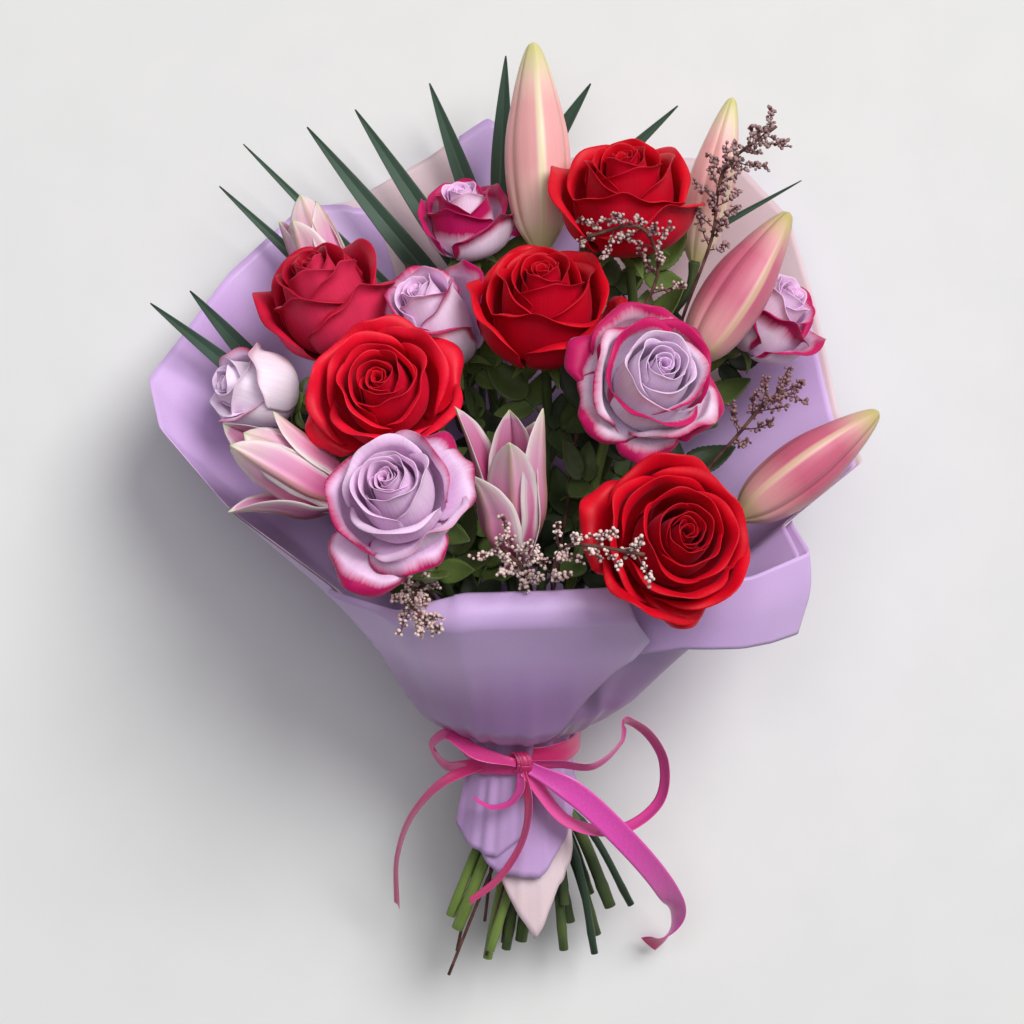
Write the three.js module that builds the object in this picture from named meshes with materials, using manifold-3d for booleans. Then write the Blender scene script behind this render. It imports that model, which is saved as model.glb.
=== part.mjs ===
// A mixed flower bouquet, wrapped in two-tone paper and tied with a satin ribbon, lying on its back.
// Millimetres. +Y runs from the tie to the flowers, +X to the right of someone looking down on the
// bouquet, and +Z up. The origin is on the table, in the flat patch of paper that the bouquet lies on.
// Each physical piece is one mesh: blooms, stems, palm fronds, filler sprays, paper sheets and ribbon.
import * as THREE from "three";
import { mergeVertices } from "three/addons/utils/BufferGeometryUtils.js";
import Module from "manifold-3d";

const wasm = await Module();
wasm.setup();

// ---- Driving dimensions ----
const SEAT_GAP = 0.3; // between a bloom and the top of its stem
const PETAL_THICK = 0.8;
const LEAF_THICK = 0.8;
const PAPER_THICK = 0.8;
const RIBBON_THICK = 0.8;
const ROSE_STEM_RADIUS = 2.3;
const LILY_STEM_RADIUS = 2.9;
const SPRAY_STEM_RADIUS = 1.1;
const FROND_STEM_RADIUS = 1.8;

const TIE = new THREE.Vector3(4, -106, 60); // where the stems cross inside the ribbon
const UPPER_RISE = 27; // degrees that the bunch climbs from the tie to the flowers
const LOWER_RISE = 12; // degrees that it climbs from the cut ends to the tie
const LOWER_SWING = 2; // degrees that the cut ends swing to the left
const TWIST = 24; // mm that a stem of slope 1 passes beside the bunch's axis
const LOWER_SPREAD = [0.6, 0.1]; // how far the stems fan out below the tie, sideways and upwards
const TIE_REACH = 30; // mm over which the tie pulls the stems together
const STEM_GAP = 0.25;
const CUT_LENGTH = 112; // from the tie to the longest cut end
const SHEET_STEP = 2.4; // radial distance between one paper sheet and the next

// ---- Small maths ----
const DEG = Math.PI / 180;
const mix = (a, b, t) => a + (b - a) * t;
const clamp = (x, low, high) => Math.min(high, Math.max(low, x));
const smooth = (t) => {
  const c = clamp(t, 0, 1);
  return c * c * (3 - 2 * c);
};
const bezier = (a, b, c, d, t) =>
  (1 - t) ** 3 * a + 3 * (1 - t) ** 2 * t * b + 3 * (1 - t) * t * t * c + t ** 3 * d;
const steps = (count, low = 0, high = 1) =>
  Array.from({ length: count + 1 }, (_, i) => mix(low, high, i / count));
const vector = (p) => (p.isVector3 ? p.clone() : new THREE.Vector3(...p));

// A repeatable random number from 0 to 1 for each pair of whole numbers.
function chance(a, b) {
  const s = Math.sin(a * 127.1 + b * 311.7 + 17.3) * 43758.5453;
  return s - Math.floor(s);
}

// A value between the listed ones: pairs of [place, value], with places rising.
function between(pairs, at) {
  if (at <= pairs[0][0]) return pairs[0][1];
  for (let i = 1; i < pairs.length; i++) {
    const [x0, y0] = pairs[i - 1];
    const [x1, y1] = pairs[i];
    if (at <= x1) return mix(y0, y1, (at - x0) / (x1 - x0));
  }
  return pairs[pairs.length - 1][1];
}

// ---- Solids ----
function solidOf(geometry) {
  const bare = geometry.clone();
  bare.deleteAttribute("normal");
  bare.deleteAttribute("uv");
  const merged = mergeVertices(bare, 1e-4);
  const corners = new Uint32Array(merged.index.array);
  const build = () =>
    new wasm.Manifold(
      new wasm.Mesh({
        numProp: 3,
        vertProperties: new Float32Array(merged.attributes.position.array),
        triVerts: corners,
      }),
    );
  const made = build();
  if (made.volume() > 0) return made;
  for (let i = 0; i < corners.length; i += 3) [corners[i], corners[i + 1]] = [corners[i + 1], corners[i]];
  return build();
}

function geometryOf(solid) {
  const mesh = solid.getMesh();
  const count = mesh.vertProperties.length / mesh.numProp;
  const position = new Float32Array(count * 3);
  for (let i = 0; i < count; i++)
    position.set(mesh.vertProperties.subarray(i * mesh.numProp, i * mesh.numProp + 3), i * 3);
  return new THREE.BufferGeometry()
    .setAttribute("position", new THREE.BufferAttribute(position, 3))
    .setIndex(new THREE.BufferAttribute(mesh.triVerts, 1));
}

// Joins solids into one, and leaves out any scrap that the join cut loose.
function fuse(parts) {
  const bodies = wasm.Manifold.union(parts).decompose();
  return bodies.reduce((big, body) => (body.volume() > big.volume() ? body : big)).asOriginal();
}

// A thin closed blade round a middle surface: us run across it, vs along it, and both faces are split
// into triangles alike. floor, where given, is a height that no point goes below.
function blade(surface, us, vs, thickness, floor = -Infinity) {
  const rows = vs.map((v) => us.map((u) => surface(u, v)));
  const side = (i, j, step) => {
    const normals = new THREE.Vector3().crossVectors(
      rows[j][Math.min(i + 1, us.length - 1)].clone().sub(rows[j][Math.max(i - 1, 0)]),
      rows[Math.min(j + 1, vs.length - 1)][i].clone().sub(rows[Math.max(j - 1, 0)][i]),
    );
    return rows[j][i].clone().addScaledVector(normals.normalize(), step);
  };
  const position = [];
  const count = us.length * vs.length;
  const faceCount = { top: 0, bottom: count };
  for (const step of [thickness / 2, -thickness / 2])
    vs.forEach((_, j) =>
      us.forEach((__, i) => {
        const p = side(i, j, step);
        position.push(p.x, p.y, p.z);
      }),
    );
  if (floor > -Infinity)
    for (let i = 0; i < count; i++) {
      // the higher of a pair of points stays a thickness above the floor, the lower one on it
      const top = i * 3 + 2;
      const low = (i + count) * 3 + 2;
      const [upper, lower] = position[top] > position[low] ? [top, low] : [low, top];
      position[lower] = Math.max(position[lower], floor);
      position[upper] = Math.max(position[upper], floor + thickness);
    }
  const index = [];
  const at = (i, j, base) => base + j * us.length + i;
  const quad = (a, b, c, d) => index.push(a, b, c, a, c, d);
  for (let j = 0; j + 1 < vs.length; j++)
    for (let i = 0; i + 1 < us.length; i++) {
      const ring = (base) =>
        [[i, j], [i + 1, j], [i + 1, j + 1], [i, j + 1]].map(([k, l]) => at(k, l, base));
      const [a, b, c, d] = ring(faceCount.top);
      const [e, f, g, h] = ring(faceCount.bottom);
      index.push(a, b, c, a, c, d);
      index.push(e, g, f, e, h, g);
    }
  const edge = [];
  for (let i = 0; i < us.length; i++) edge.push([i, 0]);
  for (let j = 1; j < vs.length; j++) edge.push([us.length - 1, j]);
  for (let i = us.length - 2; i >= 0; i--) edge.push([i, vs.length - 1]);
  for (let j = vs.length - 2; j > 0; j--) edge.push([0, j]);
  edge.forEach(([i, j], n) => {
    const [k, l] = edge[(n + 1) % edge.length];
    quad(at(i, j, count), at(k, l, count), at(k, l, 0), at(i, j, 0));
  });
  return new THREE.BufferGeometry()
    .setAttribute("position", new THREE.Float32BufferAttribute(position, 3))
    .setIndex(index);
}

// A round rod along a curve.
function rod(curve, radius, sides, segments) {
  const ring = new THREE.Shape(
    steps(sides - 1, 0, 2 * Math.PI * (1 - 1 / sides)).map(
      (a) => new THREE.Vector2(radius * Math.cos(a), radius * Math.sin(a)),
    ),
  );
  return new THREE.ExtrudeGeometry(ring, { steps: segments, bevelEnabled: false, extrudePath: curve });
}

// A solid of revolution round +Z from [radius, height] pairs that start and end on the axis, with its
// first corner above +X.
function turned(profile, sides) {
  const lathe = new THREE.LatheGeometry(profile.map(([r, h]) => new THREE.Vector2(r, h)), sides);
  return lathe.rotateX(Math.PI / 2).rotateZ(Math.PI / 2);
}

// ---- Directions ----
// The unit vector that leans from +Z by lean degrees towards a compass direction, from +X round to +Y.
const leaning = (lean, towards) =>
  new THREE.Vector3(
    Math.sin(lean * DEG) * Math.cos(towards * DEG),
    Math.sin(lean * DEG) * Math.sin(towards * DEG),
    Math.cos(lean * DEG),
  );

// A turn that carries +Z onto axis.
const facing = (axis) => new THREE.Quaternion().setFromUnitVectors(new THREE.Vector3(0, 0, 1), axis);

// ---- Roses ----
// head is the middle of the bloom, lean and towards turn its face, and open is how far it has opened.
const ROSES = [
  { name: "red_left", red: true, head: [-57, 53, 140], lean: 20, towards: 110, across: 67, open: 0.9 },
  { name: "red_centre", red: true, head: [15, 91, 122], lean: 52, towards: 92, across: 66, open: 0.6 },
  { name: "red_top", red: true, head: [53, 143, 101], lean: 58, towards: 95, across: 66, open: 0.65 },
  { name: "red_front", red: true, head: [69, -14, 180], lean: 18, towards: 45, across: 79, open: 1 },
  { name: "crimson_left", red: true, head: [-86, 96, 90], lean: 66, towards: 112, across: 60, open: 0.35 },
  { name: "lilac_top", red: false, head: [-22, 137, 62], lean: 64, towards: 98, across: 46, open: 0.45 },
  { name: "lilac_centre", red: false, head: [-34, 88, 95], lean: 54, towards: 112, across: 46, open: 0.3 },
  { name: "lilac_right", red: false, head: [58, 58, 160], lean: 24, towards: 55, across: 70, open: 0.85 },
  { name: "lilac_front", red: false, head: [-48, 4, 192], lean: 28, towards: 118, across: 65, open: 0.8 },
  { name: "lilac_left", red: false, head: [-117, 56, 92], lean: 64, towards: 165, across: 48, open: 0.4 },
  { name: "lilac_behind", red: false, head: [119, 91, 78], lean: 60, towards: 42, across: 52, open: 0.5 },
];
const LARGE_ROSE = 62; // a rose wider than this has six outer petals in place of four
const PETAL_ROWS = [0, 0.42, 0.8, 1];
const CLOSED_PETAL_ROWS = [0, 0.5, 1]; // on roses that are less open
// Every corner of a rose lies on one of these meridians, so that nested petals never cut each other.
const MERIDIANS = 11;
const PETAL_TURN = 4; // meridians from one petal to the next, about the golden angle
const PETAL_SPAN = 3; // meridians that a petal spans

// The height of a rose of that openness.
const cupHeight = (rose) => (rose.across / 2) * mix(1.75, 1.35, rose.open);

// The middle line of a petal in the rose's own frame: place runs from 0 at the heart to 1 outside, and
// along from 0 at the foot to 1 at the rim. Gives [radius, height].
function petalLine(rose, place, along) {
  const radius = rose.across / 2;
  const height = cupHeight(rose);
  const foot = radius * mix(0.02, 0.09, place);
  const belly = radius * mix(0.2, 0.84, place ** 0.85);
  const rim = radius * mix(0.14, mix(0.76, 0.98, rose.open), place ** 1.15);
  const top = height * (1 - mix(0.1, 0.42, rose.open) * place ** 2);
  const out = bezier(foot, belly * 1.25, belly * 1.1, rim, along);
  const up = bezier(1, top * 0.12, top * 0.6, top, along);
  return [out, up];
}

// A point of a petal: u runs across it from -1 to 1 and v along it from 0 to 1. Past v 0.8 the edge
// rolls outwards on an arc.
function petalPoint(rose, place, turn, u, v) {
  const k = clamp(place + 0.045 * u, 0, 1.05);
  const angle = turn + (u * PETAL_SPAN * Math.PI) / MERIDIANS;
  const along = Math.min(v, 0.8) * (1 - 0.36 * Math.abs(u) ** 2.4);
  const [r, z] = petalLine(rose, k, along);
  const [r2, z2] = petalLine(rose, k, along + 0.01);
  const way = new THREE.Vector2(r2 - r, z2 - z).normalize();
  const rolled = Math.max(v - 0.8, 0) / 0.2;
  const bend = mix(5, 80, smooth((k - 0.45) / 0.5)) * (1 - 0.6 * u * u) * DEG;
  const reach = (cupHeight(rose) * 0.2 * (1 - 0.5 * u * u)) / bend;
  const forward = reach * Math.sin(bend * rolled);
  const outward = reach * (1 - Math.cos(bend * rolled));
  const out = r + way.x * forward + way.y * outward;
  const up = z + way.y * forward - way.x * outward;
  return new THREE.Vector3(out * Math.cos(angle), out * Math.sin(angle), up);
}

// The furled heart of a rose, then its petals from the inside out.
function roseBloom(rose) {
  const radius = rose.across / 2;
  const height = cupHeight(rose);
  const outline = [[0.15, 0], [0.46, 0.22], [0.43, 0.66], [0.33, 0.97]];
  const profile = [[0, 0], ...outline.map(([r, h]) => [r * radius, h * height]), [0, height * 0.72]];
  const petals = steps(rose.across > LARGE_ROSE ? 5 : 3).map((share, i) => {
    const place = mix(0.5, 1, share);
    const turn = ((i * PETAL_TURN + PETAL_SPAN / 2) * 2 * Math.PI) / MERIDIANS;
    const surface = (u, v) => petalPoint(rose, place, turn, u, v);
    const rows = rose.open > 0.7 ? PETAL_ROWS : CLOSED_PETAL_ROWS;
    return solidOf(blade(surface, steps(PETAL_SPAN, -1, 1), rows, PETAL_THICK));
  });
  return fuse([solidOf(turned(profile, MERIDIANS)), ...petals]);
}

// The foot of a bloom: where its stem meets it.
function roseFoot(rose) {
  const axis = leaning(rose.lean, rose.towards);
  return vector(rose.head).addScaledVector(axis, -0.45 * cupHeight(rose));
}

// ---- Lilies ----
// Closed buds, from foot to tip.
const LILY_BUDS = [
  { name: "lily_bud_top", foot: [14, 124, 72], tip: [10, 222, 70], girth: 31 },
  { name: "lily_bud_far", foot: [87, 119, 62], tip: [105, 197, 62], girth: 22 },
  { name: "lily_bud_right", foot: [83, 69, 120], tip: [127, 137, 116], girth: 29 },
  { name: "lily_bud_low", foot: [104, -2, 118], tip: [168, 46, 114], girth: 28 },
];
// Opening lilies: spread is how far each petal's tip stands out from the axis.
const OPEN_LILIES = [
  {
    name: "lily_open_left", foot: [-72, 4, 120], tip: [-126, 34, 141],
    girth: 27, spin: 40, spread: [16, 9, 14, 7, 34, 10],
  },
  {
    name: "lily_open_centre", foot: [3, -24, 138], tip: [-2, 46, 172],
    girth: 29, spin: 10, spread: [20, 13, 22, 12, 18, 10],
  },
  {
    name: "lily_open_far", foot: [-84, 98, 44], tip: [-101, 150, 68],
    girth: 25, spin: 70, spread: [12, 8, 13, 7, 12, 8],
  },
];
const BUD_SIDES = 10;

// A closed bud: a ribbed spindle on +Z.
function lilyBud({ foot, tip, girth }) {
  const length = vector(tip).distanceTo(vector(foot));
  const outline = [[0, 0.32], [0.22, 0.68], [0.5, 1], [0.72, 0.86], [0.9, 0.5]];
  const profile = [[0, 0], ...outline.map(([h, r]) => [(r * girth) / 2, h * length]), [0, length]];
  const shape = turned(profile, BUD_SIDES);
  const points = shape.getAttribute("position");
  for (let i = 0; i < points.count; i++) {
    const angle = Math.atan2(points.getY(i), points.getX(i));
    const rib = 1 + 0.05 * Math.cos(5 * angle);
    points.setXY(i, points.getX(i) * rib, points.getY(i) * rib);
  }
  return solidOf(shape);
}

// The half width of a lily petal along its length, as a share of its widest.
const lilyWidth = (v) => between([[0, 0.35], [0.35, 1], [0.75, 0.6], [1, 0.06]], v);

// A point of one of the six petals of an opening lily. They leave its body a third of the way up.
function lilyPetalPoint(lily, length, n, u, v) {
  const inner = n % 2;
  const bodyRadius = lily.girth * 0.3;
  const bulge = lily.girth * (inner ? 0.42 : 0.5);
  const out = bezier(bodyRadius * 0.35, bulge, lily.girth * 0.5, lily.spread[n], v);
  const height = length * mix(0.2, 1 - 0.006 * lily.spread[n], v);
  const half = lilyWidth(v) * lily.girth * 0.23;
  const angle = (n * 60 + lily.spin) * DEG;
  const cupped = out - 0.4 * half * u * u;
  return new THREE.Vector3(
    cupped * Math.cos(angle) - half * u * Math.sin(angle),
    cupped * Math.sin(angle) + half * u * Math.cos(angle),
    height,
  );
}

function openLily(lily) {
  const length = vector(lily.tip).distanceTo(vector(lily.foot));
  const outline = [[0.09, 0], [0.14, 0.08], [0.3, 0.3], [0.28, 0.42], [0.12, 0.62]];
  const profile = [[0, 0], ...outline.map(([r, h]) => [r * lily.girth, h * length]), [0, length * 0.64]];
  const petals = lily.spread.map((_, n) => {
    const surface = (u, v) => lilyPetalPoint(lily, length, n, u, v);
    return solidOf(blade(surface, [-1, 0, 1], [0, 0.35, 0.75, 1], PETAL_THICK));
  });
  return fuse([solidOf(turned(profile, 6)), ...petals]);
}

// ---- The bunch of stems ----
const ACROSS = new THREE.Vector3(1, 0, 0);
const UPPER_AXIS = new THREE.Vector3(0, Math.cos(UPPER_RISE * DEG), Math.sin(UPPER_RISE * DEG));
const LOWER_AXIS = new THREE.Vector3(
  Math.sin(LOWER_SWING * DEG),
  Math.cos(LOWER_SWING * DEG) * Math.cos(LOWER_RISE * DEG),
  Math.cos(LOWER_SWING * DEG) * Math.sin(LOWER_RISE * DEG),
);
const UPWARD = new THREE.Vector3(0, -Math.sin(UPPER_RISE * DEG), Math.cos(UPPER_RISE * DEG));

// The slope [sideways, upwards] of the straight stem that reaches point from beside the tie.
function slopeTo(point) {
  const from = vector(point).sub(TIE);
  const height = from.dot(UPPER_AXIS);
  const x = from.dot(ACROSS);
  const y = from.dot(UPWARD);
  const size = height * height + TWIST * TWIST;
  return [(height * x + TWIST * y) / size, (height * y - TWIST * x) / size];
}

// Pulls the stems together at the tie until each lies against its neighbours.
function packStems(stems) {
  const places = stems.map(({ slope: [a, b] }) => [-TWIST * b, TWIST * a]);
  const pushApart = () => {
    for (let i = 0; i < places.length; i++)
      for (let j = 0; j < i; j++) {
        const dx = places[i][0] - places[j][0];
        const dy = places[i][1] - places[j][1];
        const apart = Math.hypot(dx, dy) || 1e-6;
        const short = stems[i].radius + stems[j].radius + STEM_GAP - apart;
        if (short <= 0) continue;
        const sx = (dx / apart) * (short / 2);
        const sy = (dy / apart) * (short / 2);
        places[i] = [places[i][0] + sx, places[i][1] + sy];
        places[j] = [places[j][0] - sx, places[j][1] - sy];
      }
  };
  for (let n = 0; n < 900; n++) {
    places.forEach(([x, y], i) => (places[i] = [x * 0.995, y * 0.995]));
    pushApart();
  }
  for (let n = 0; n < 400; n++) pushApart();
  stems.forEach((stem, i) => (stem.place = places[i]));
}

// A stem's middle at a distance past the tie: above it, or below it where the distance is negative.
function stemPoint(stem, distance) {
  const [a, b] = stem.slope;
  const [sideways, upwards] = distance > 0 ? [1, 1] : LOWER_SPREAD;
  const pull = Math.exp(-((distance / TIE_REACH) ** 2));
  const x = mix(a * sideways * distance - TWIST * b, stem.place[0], pull);
  const y = mix(b * upwards * distance + TWIST * a, stem.place[1], pull);
  return TIE.clone()
    .addScaledVector(distance > 0 ? UPPER_AXIS : LOWER_AXIS, distance)
    .addScaledVector(ACROSS, x)
    .addScaledVector(UPWARD, y);
}

const SKIRT_POINT = 30; // a point of every stem lies this far below the tie, inside the paper
// The way of a stem from its cut end, through the tie, to its target. What follows there is its own.
function stemRoute(stem) {
  const top = vector(stem.target).sub(TIE).dot(UPPER_AXIS);
  const above = [28, 66, 108].filter((d) => d < top - 20);
  return [-stem.cut, -0.6 * stem.cut, -SKIRT_POINT, 0, ...above].map((d) => stemPoint(stem, d));
}

const BEND_ROOM = 34; // mm below a bloom in which its stem turns to face the way the bloom does
// the cut ends are staggered by up to a quarter of the longest
const cutOf = (n) => CUT_LENGTH * mix(0.74, 1, chance(n, 20));

const roseStems = ROSES.map((rose, n) => {
  const axis = leaning(rose.lean, rose.towards);
  const target = roseFoot(rose).addScaledVector(axis, -BEND_ROOM);
  return { rose, axis, target, radius: ROSE_STEM_RADIUS, cut: cutOf(n), slope: slopeTo(target) };
});

// Lily stems fork: each arm ends at the foot of a bud.
const LILY_STEMS = [
  { name: "lily_stem_back", fork: [46, 62, 58], buds: ["lily_bud_top", "lily_bud_far"] },
  { name: "lily_stem_right", fork: [66, -6, 104], buds: ["lily_bud_right", "lily_bud_low"] },
  { name: "lily_stem_left", fork: [-18, -60, 94], buds: ["lily_open_centre", "lily_open_left"] },
  { name: "lily_stem_far", fork: [-62, 30, 40], buds: ["lily_open_far"] },
];
const lilyStems = LILY_STEMS.map((lily, n) => ({
  ...lily,
  target: vector(lily.fork),
  radius: LILY_STEM_RADIUS,
  cut: cutOf(n + 20),
  slope: slopeTo(lily.fork),
}));

// ---- Palm fronds ----
// Each leaflet leaves the rib at a share of its length and ends at tip.
const FRONDS = [
  {
    name: "palm_frond_back",
    rib: [[-12, 20, 26], [-14, 90, 19], [-6, 150, 17]],
    leaflets: [
      { at: 0.12, tip: [-141, 157, 44] },
      { at: 0.3, tip: [-130, 178, 38] },
      { at: 0.45, tip: [-99, 186, 40] },
      { at: 0.6, tip: [-76, 195, 36] },
      { at: 0.8, tip: [-40, 208, 34] },
      { at: 0.95, tip: [-3, 221, 36] },
      { at: 0.9, tip: [38, 207, 40] },
      { at: 0.7, tip: [80, 196, 42] },
      { at: 0.4, tip: [138, 158, 60] },
    ],
  },
  {
    name: "palm_frond_left",
    rib: [[-46, -20, 40], [-76, 20, 48], [-100, 45, 56]],
    leaflets: [
      { at: 0.7, tip: [-168, 97, 96] },
      { at: 0.95, tip: [-150, 103, 92] },
    ],
  },
];
const LEAFLET_WIDTH = 15;
const frondStems = FRONDS.map((frond, n) => ({
  ...frond,
  target: vector(frond.rib[0]),
  radius: FROND_STEM_RADIUS,
  cut: cutOf(n + 40),
  slope: slopeTo(frond.rib[0]),
}));

// A long pointed blade from root to tip, folded along its rib, facing up.
function leaflet(root, tip, width) {
  const from = vector(root);
  const to = vector(tip);
  const side = new THREE.Vector3(to.y - from.y, from.x - to.x, 0).normalize();
  const surface = (u, v) => {
    const half = (width / 2) * between([[0, 0.15], [0.35, 1], [0.75, 0.62], [1, 0.05]], v);
    return from
      .clone()
      .lerp(to, v)
      .addScaledVector(side, u * half)
      .add(new THREE.Vector3(0, 0, 0.45 * half * Math.abs(u) - 5 * Math.sin(Math.PI * v)));
  };
  return solidOf(blade(surface, [-1, 0, 1], [0, 0.35, 0.75, 1], LEAF_THICK));
}

// ---- Filler sprays ----
// Wiry stems with small round flowers. path is the stretch above the bunch, twigs the side shoots.
const SPRAYS = [
  {
    name: "spray_top", twigs: 5, seed: 1,
    path: [[80, 92, 92], [93, 128, 98], [98, 158, 106], [122, 178, 106]],
  },
  {
    name: "spray_red", twigs: 4, seed: 2,
    path: [[34, 52, 112], [66, 108, 132], [58, 128, 140], [34, 124, 142]],
  },
  {
    name: "spray_left", twigs: 5, seed: 3,
    path: [[-32, -44, 126], [-40, -36, 158], [-44, -44, 172], [-34, -58, 178]],
  },
  {
    name: "spray_middle", twigs: 4, seed: 4,
    path: [[8, -46, 120], [6, -30, 154], [2, -22, 178], [-6, -14, 186]],
  },
  {
    name: "spray_front", twigs: 5, seed: 5,
    path: [[18, -50, 130], [18, -26, 172], [26, -14, 213], [56, -18, 224]],
  },
  {
    name: "spray_right", twigs: 4, seed: 6,
    path: [[84, 12, 108], [104, 36, 116], [116, 50, 118], [126, 56, 116]],
  },
];
const FLORET_RADIUS = 2.1;
const FLORETS_PER_TWIG = 3;
const TWIG_LENGTH = 17;
const TWIG_TRIES = 8; // directions tried before a side shoot that would hit something is left out
const GOLDEN_ANGLE = 137.5; // from one side shoot to the next
const sprayStems = SPRAYS.map((spray, n) => ({
  ...spray,
  target: vector(spray.path[0]),
  radius: SPRAY_STEM_RADIUS,
  cut: cutOf(n + 60),
  slope: slopeTo(spray.path[0]),
}));

const allStems = [...roseStems, ...lilyStems, ...frondStems, ...sprayStems];
packStems(allStems);
const bunchRadius = Math.max(...allStems.map((stem) => Math.hypot(...stem.place) + stem.radius));

// ---- Settling ----
// Each stem is a chain of points with a radius, and each bloom one that stays where it is. held counts
// the points at the end of a chain that stay.
const TIE_POINT = 3; // the number of the point, in every stem, that the tie holds
const ROUNDS = 260;
const CLEARANCE = 0.5;
const STEM_FLOOR = 17; // the palm frond and the back of the paper lie under the stems

// The shares along two stretches, a to b and c to d, where they come nearest to each other.
function nearest(a, b, c, d) {
  const p = b.clone().sub(a);
  const q = d.clone().sub(c);
  const w = a.clone().sub(c);
  const [pp, pq, qq, pw, qw] = [p.dot(p), p.dot(q), q.dot(q), p.dot(w), q.dot(w)];
  const det = pp * qq - pq * pq;
  let s = det > 1e-9 ? clamp((pq * qw - qq * pw) / det, 0, 1) : 0.5;
  const t = clamp((pq * s + qw) / qq, 0, 1);
  s = clamp((pq * t - pw) / pp, 0, 1);
  return [s, t];
}

function pushApart(one, other) {
  for (let i = 0; i + 1 < one.points.length; i++)
    for (let j = 0; j + 1 < other.points.length; j++) {
      const [a, b] = [one.points[i], one.points[i + 1]];
      const [c, d] = [other.points[j], other.points[j + 1]];
      const room = one.radius + other.radius + CLEARANCE;
      const reach = room + (one.longest + other.longest) / 2;
      const dx = Math.abs(a.x + b.x - c.x - d.x) / 2;
      const dy = Math.abs(a.y + b.y - c.y - d.y) / 2;
      if (dx > reach || dy > reach) continue;
      const [s, t] = nearest(a, b, c, d);
      const apart = a.clone().lerp(b, s).sub(c.clone().lerp(d, t));
      const short = room - apart.length();
      if (short <= 0) continue;
      apart.normalize().multiplyScalar(short / 2);
      one.move(i, s, apart);
      other.move(j, t, apart.negate());
    }
}

// A chain with the means to move its stretch number i at the share s along it.
function chain(points, radius, held, owner) {
  const longest = Math.max(...points.slice(1).map((p, i) => p.distanceTo(points[i])));
  const wanted = points.map((p) => p.clone());
  const free = points.length - held;
  const move = (i, s, way) => {
    if (i < free && i !== TIE_POINT) points[i].addScaledVector(way, 1.5 * (1 - s));
    if (i + 1 < free && i + 1 !== TIE_POINT) points[i + 1].addScaledVector(way, 1.5 * s);
  };
  return { points, wanted, radius, free, longest, owner, move };
}

// Spreads each point's shift over its neighbours, so that a pushed stem bends smoothly.
function ease({ points, wanted, free }) {
  const shift = points.map((p, i) => p.clone().sub(wanted[i]));
  for (let i = 0; i < free; i++) {
    if (i === TIE_POINT) continue;
    const before = shift[Math.max(i - 1, 0)];
    const after = shift[Math.min(i + 1, shift.length - 1)];
    const even = before.clone().add(after).multiplyScalar(0.5);
    points[i].copy(wanted[i]).add(shift[i].clone().lerp(even, 0.35).multiplyScalar(0.995));
  }
}

// Keeps the point of a stem under the ribbon's skirt inside it.
function gather(stem) {
  const point = stem.points[TIE_POINT - 1];
  const centre = TIE.clone().addScaledVector(LOWER_AXIS, -SKIRT_POINT);
  const off = point.clone().sub(centre);
  off.addScaledVector(LOWER_AXIS, -off.dot(LOWER_AXIS));
  const excess = off.length() - (bunchRadius + 1 - stem.radius);
  if (excess > 0) point.addScaledVector(off.normalize(), -excess);
}

function settle(stems, blooms) {
  for (let round = 0; round < ROUNDS; round++) {
    if (round < ROUNDS * 0.75) stems.forEach(ease);
    stems.forEach((stem, i) => {
      for (const other of stems.slice(0, i)) pushApart(stem, other);
      for (const bloom of blooms) if (!stem.owner.includes(bloom.owner)) pushApart(stem, bloom);
      gather(stem);
      for (let n = TIE_POINT; n < stem.free; n++) stem.points[n].z = Math.max(stem.points[n].z, STEM_FLOOR);
    });
  }
}

// ---- Building stems ----
// The chains of a rose's stem, of a lily's trunk and arms, and of a spray.
for (const stem of roseStems) {
  const foot = roseFoot(stem.rose).addScaledVector(stem.axis, -SEAT_GAP);
  const neck = [-BEND_ROOM, -18, -6].map((d) => foot.clone().addScaledVector(stem.axis, d));
  stem.chain = chain([...stemRoute(stem), ...neck], stem.radius, 2, [stem.rose.name]);
}
for (const stem of lilyStems) {
  stem.chain = chain([...stemRoute(stem), stem.target], stem.radius, 0, stem.buds);
  stem.arms = stem.buds.map((name) => {
    const bud = [...LILY_BUDS, ...OPEN_LILIES].find((b) => b.name === name);
    const axis = vector(bud.tip).sub(vector(bud.foot)).normalize();
    const end = vector(bud.foot).addScaledVector(axis, -SEAT_GAP);
    const points = [stem.target.clone(), end.clone().addScaledVector(axis, -14), end];
    return chain(points, 2.2, 2, stem.buds);
  });
}
for (const stem of frondStems) {
  const points = [...stemRoute(stem), ...stem.rib.map(vector)];
  stem.chain = chain(points, stem.radius, stem.rib.length, []);
}
for (const stem of sprayStems) {
  const points = [...stemRoute(stem), ...stem.path.map(vector)];
  stem.chain = chain(points, stem.radius, 0, []);
}
const roseChains = ROSES.map((rose) => {
  const axis = leaning(rose.lean, rose.towards);
  const depth = 0.1 * cupHeight(rose);
  const points = [-depth, depth].map((d) => vector(rose.head).addScaledVector(axis, d));
  return chain(points, rose.across * 0.47, 2, rose.name);
});
const lilyChains = [...LILY_BUDS, ...OPEN_LILIES].map((bud) => {
  const points = [0.25, 0.9].map((t) => vector(bud.foot).lerp(vector(bud.tip), t));
  return chain(points, bud.girth * 0.5, 2, bud.name);
});
const bloomChains = [...roseChains, ...lilyChains];
const armChains = lilyStems.flatMap((stem) => stem.arms);
const ownedArms = armChains.map((arm) => ({ ...arm, owner: arm.owner[0] }));
settle(allStems.map((stem) => stem.chain), [...bloomChains, ...ownedArms]);

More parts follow.
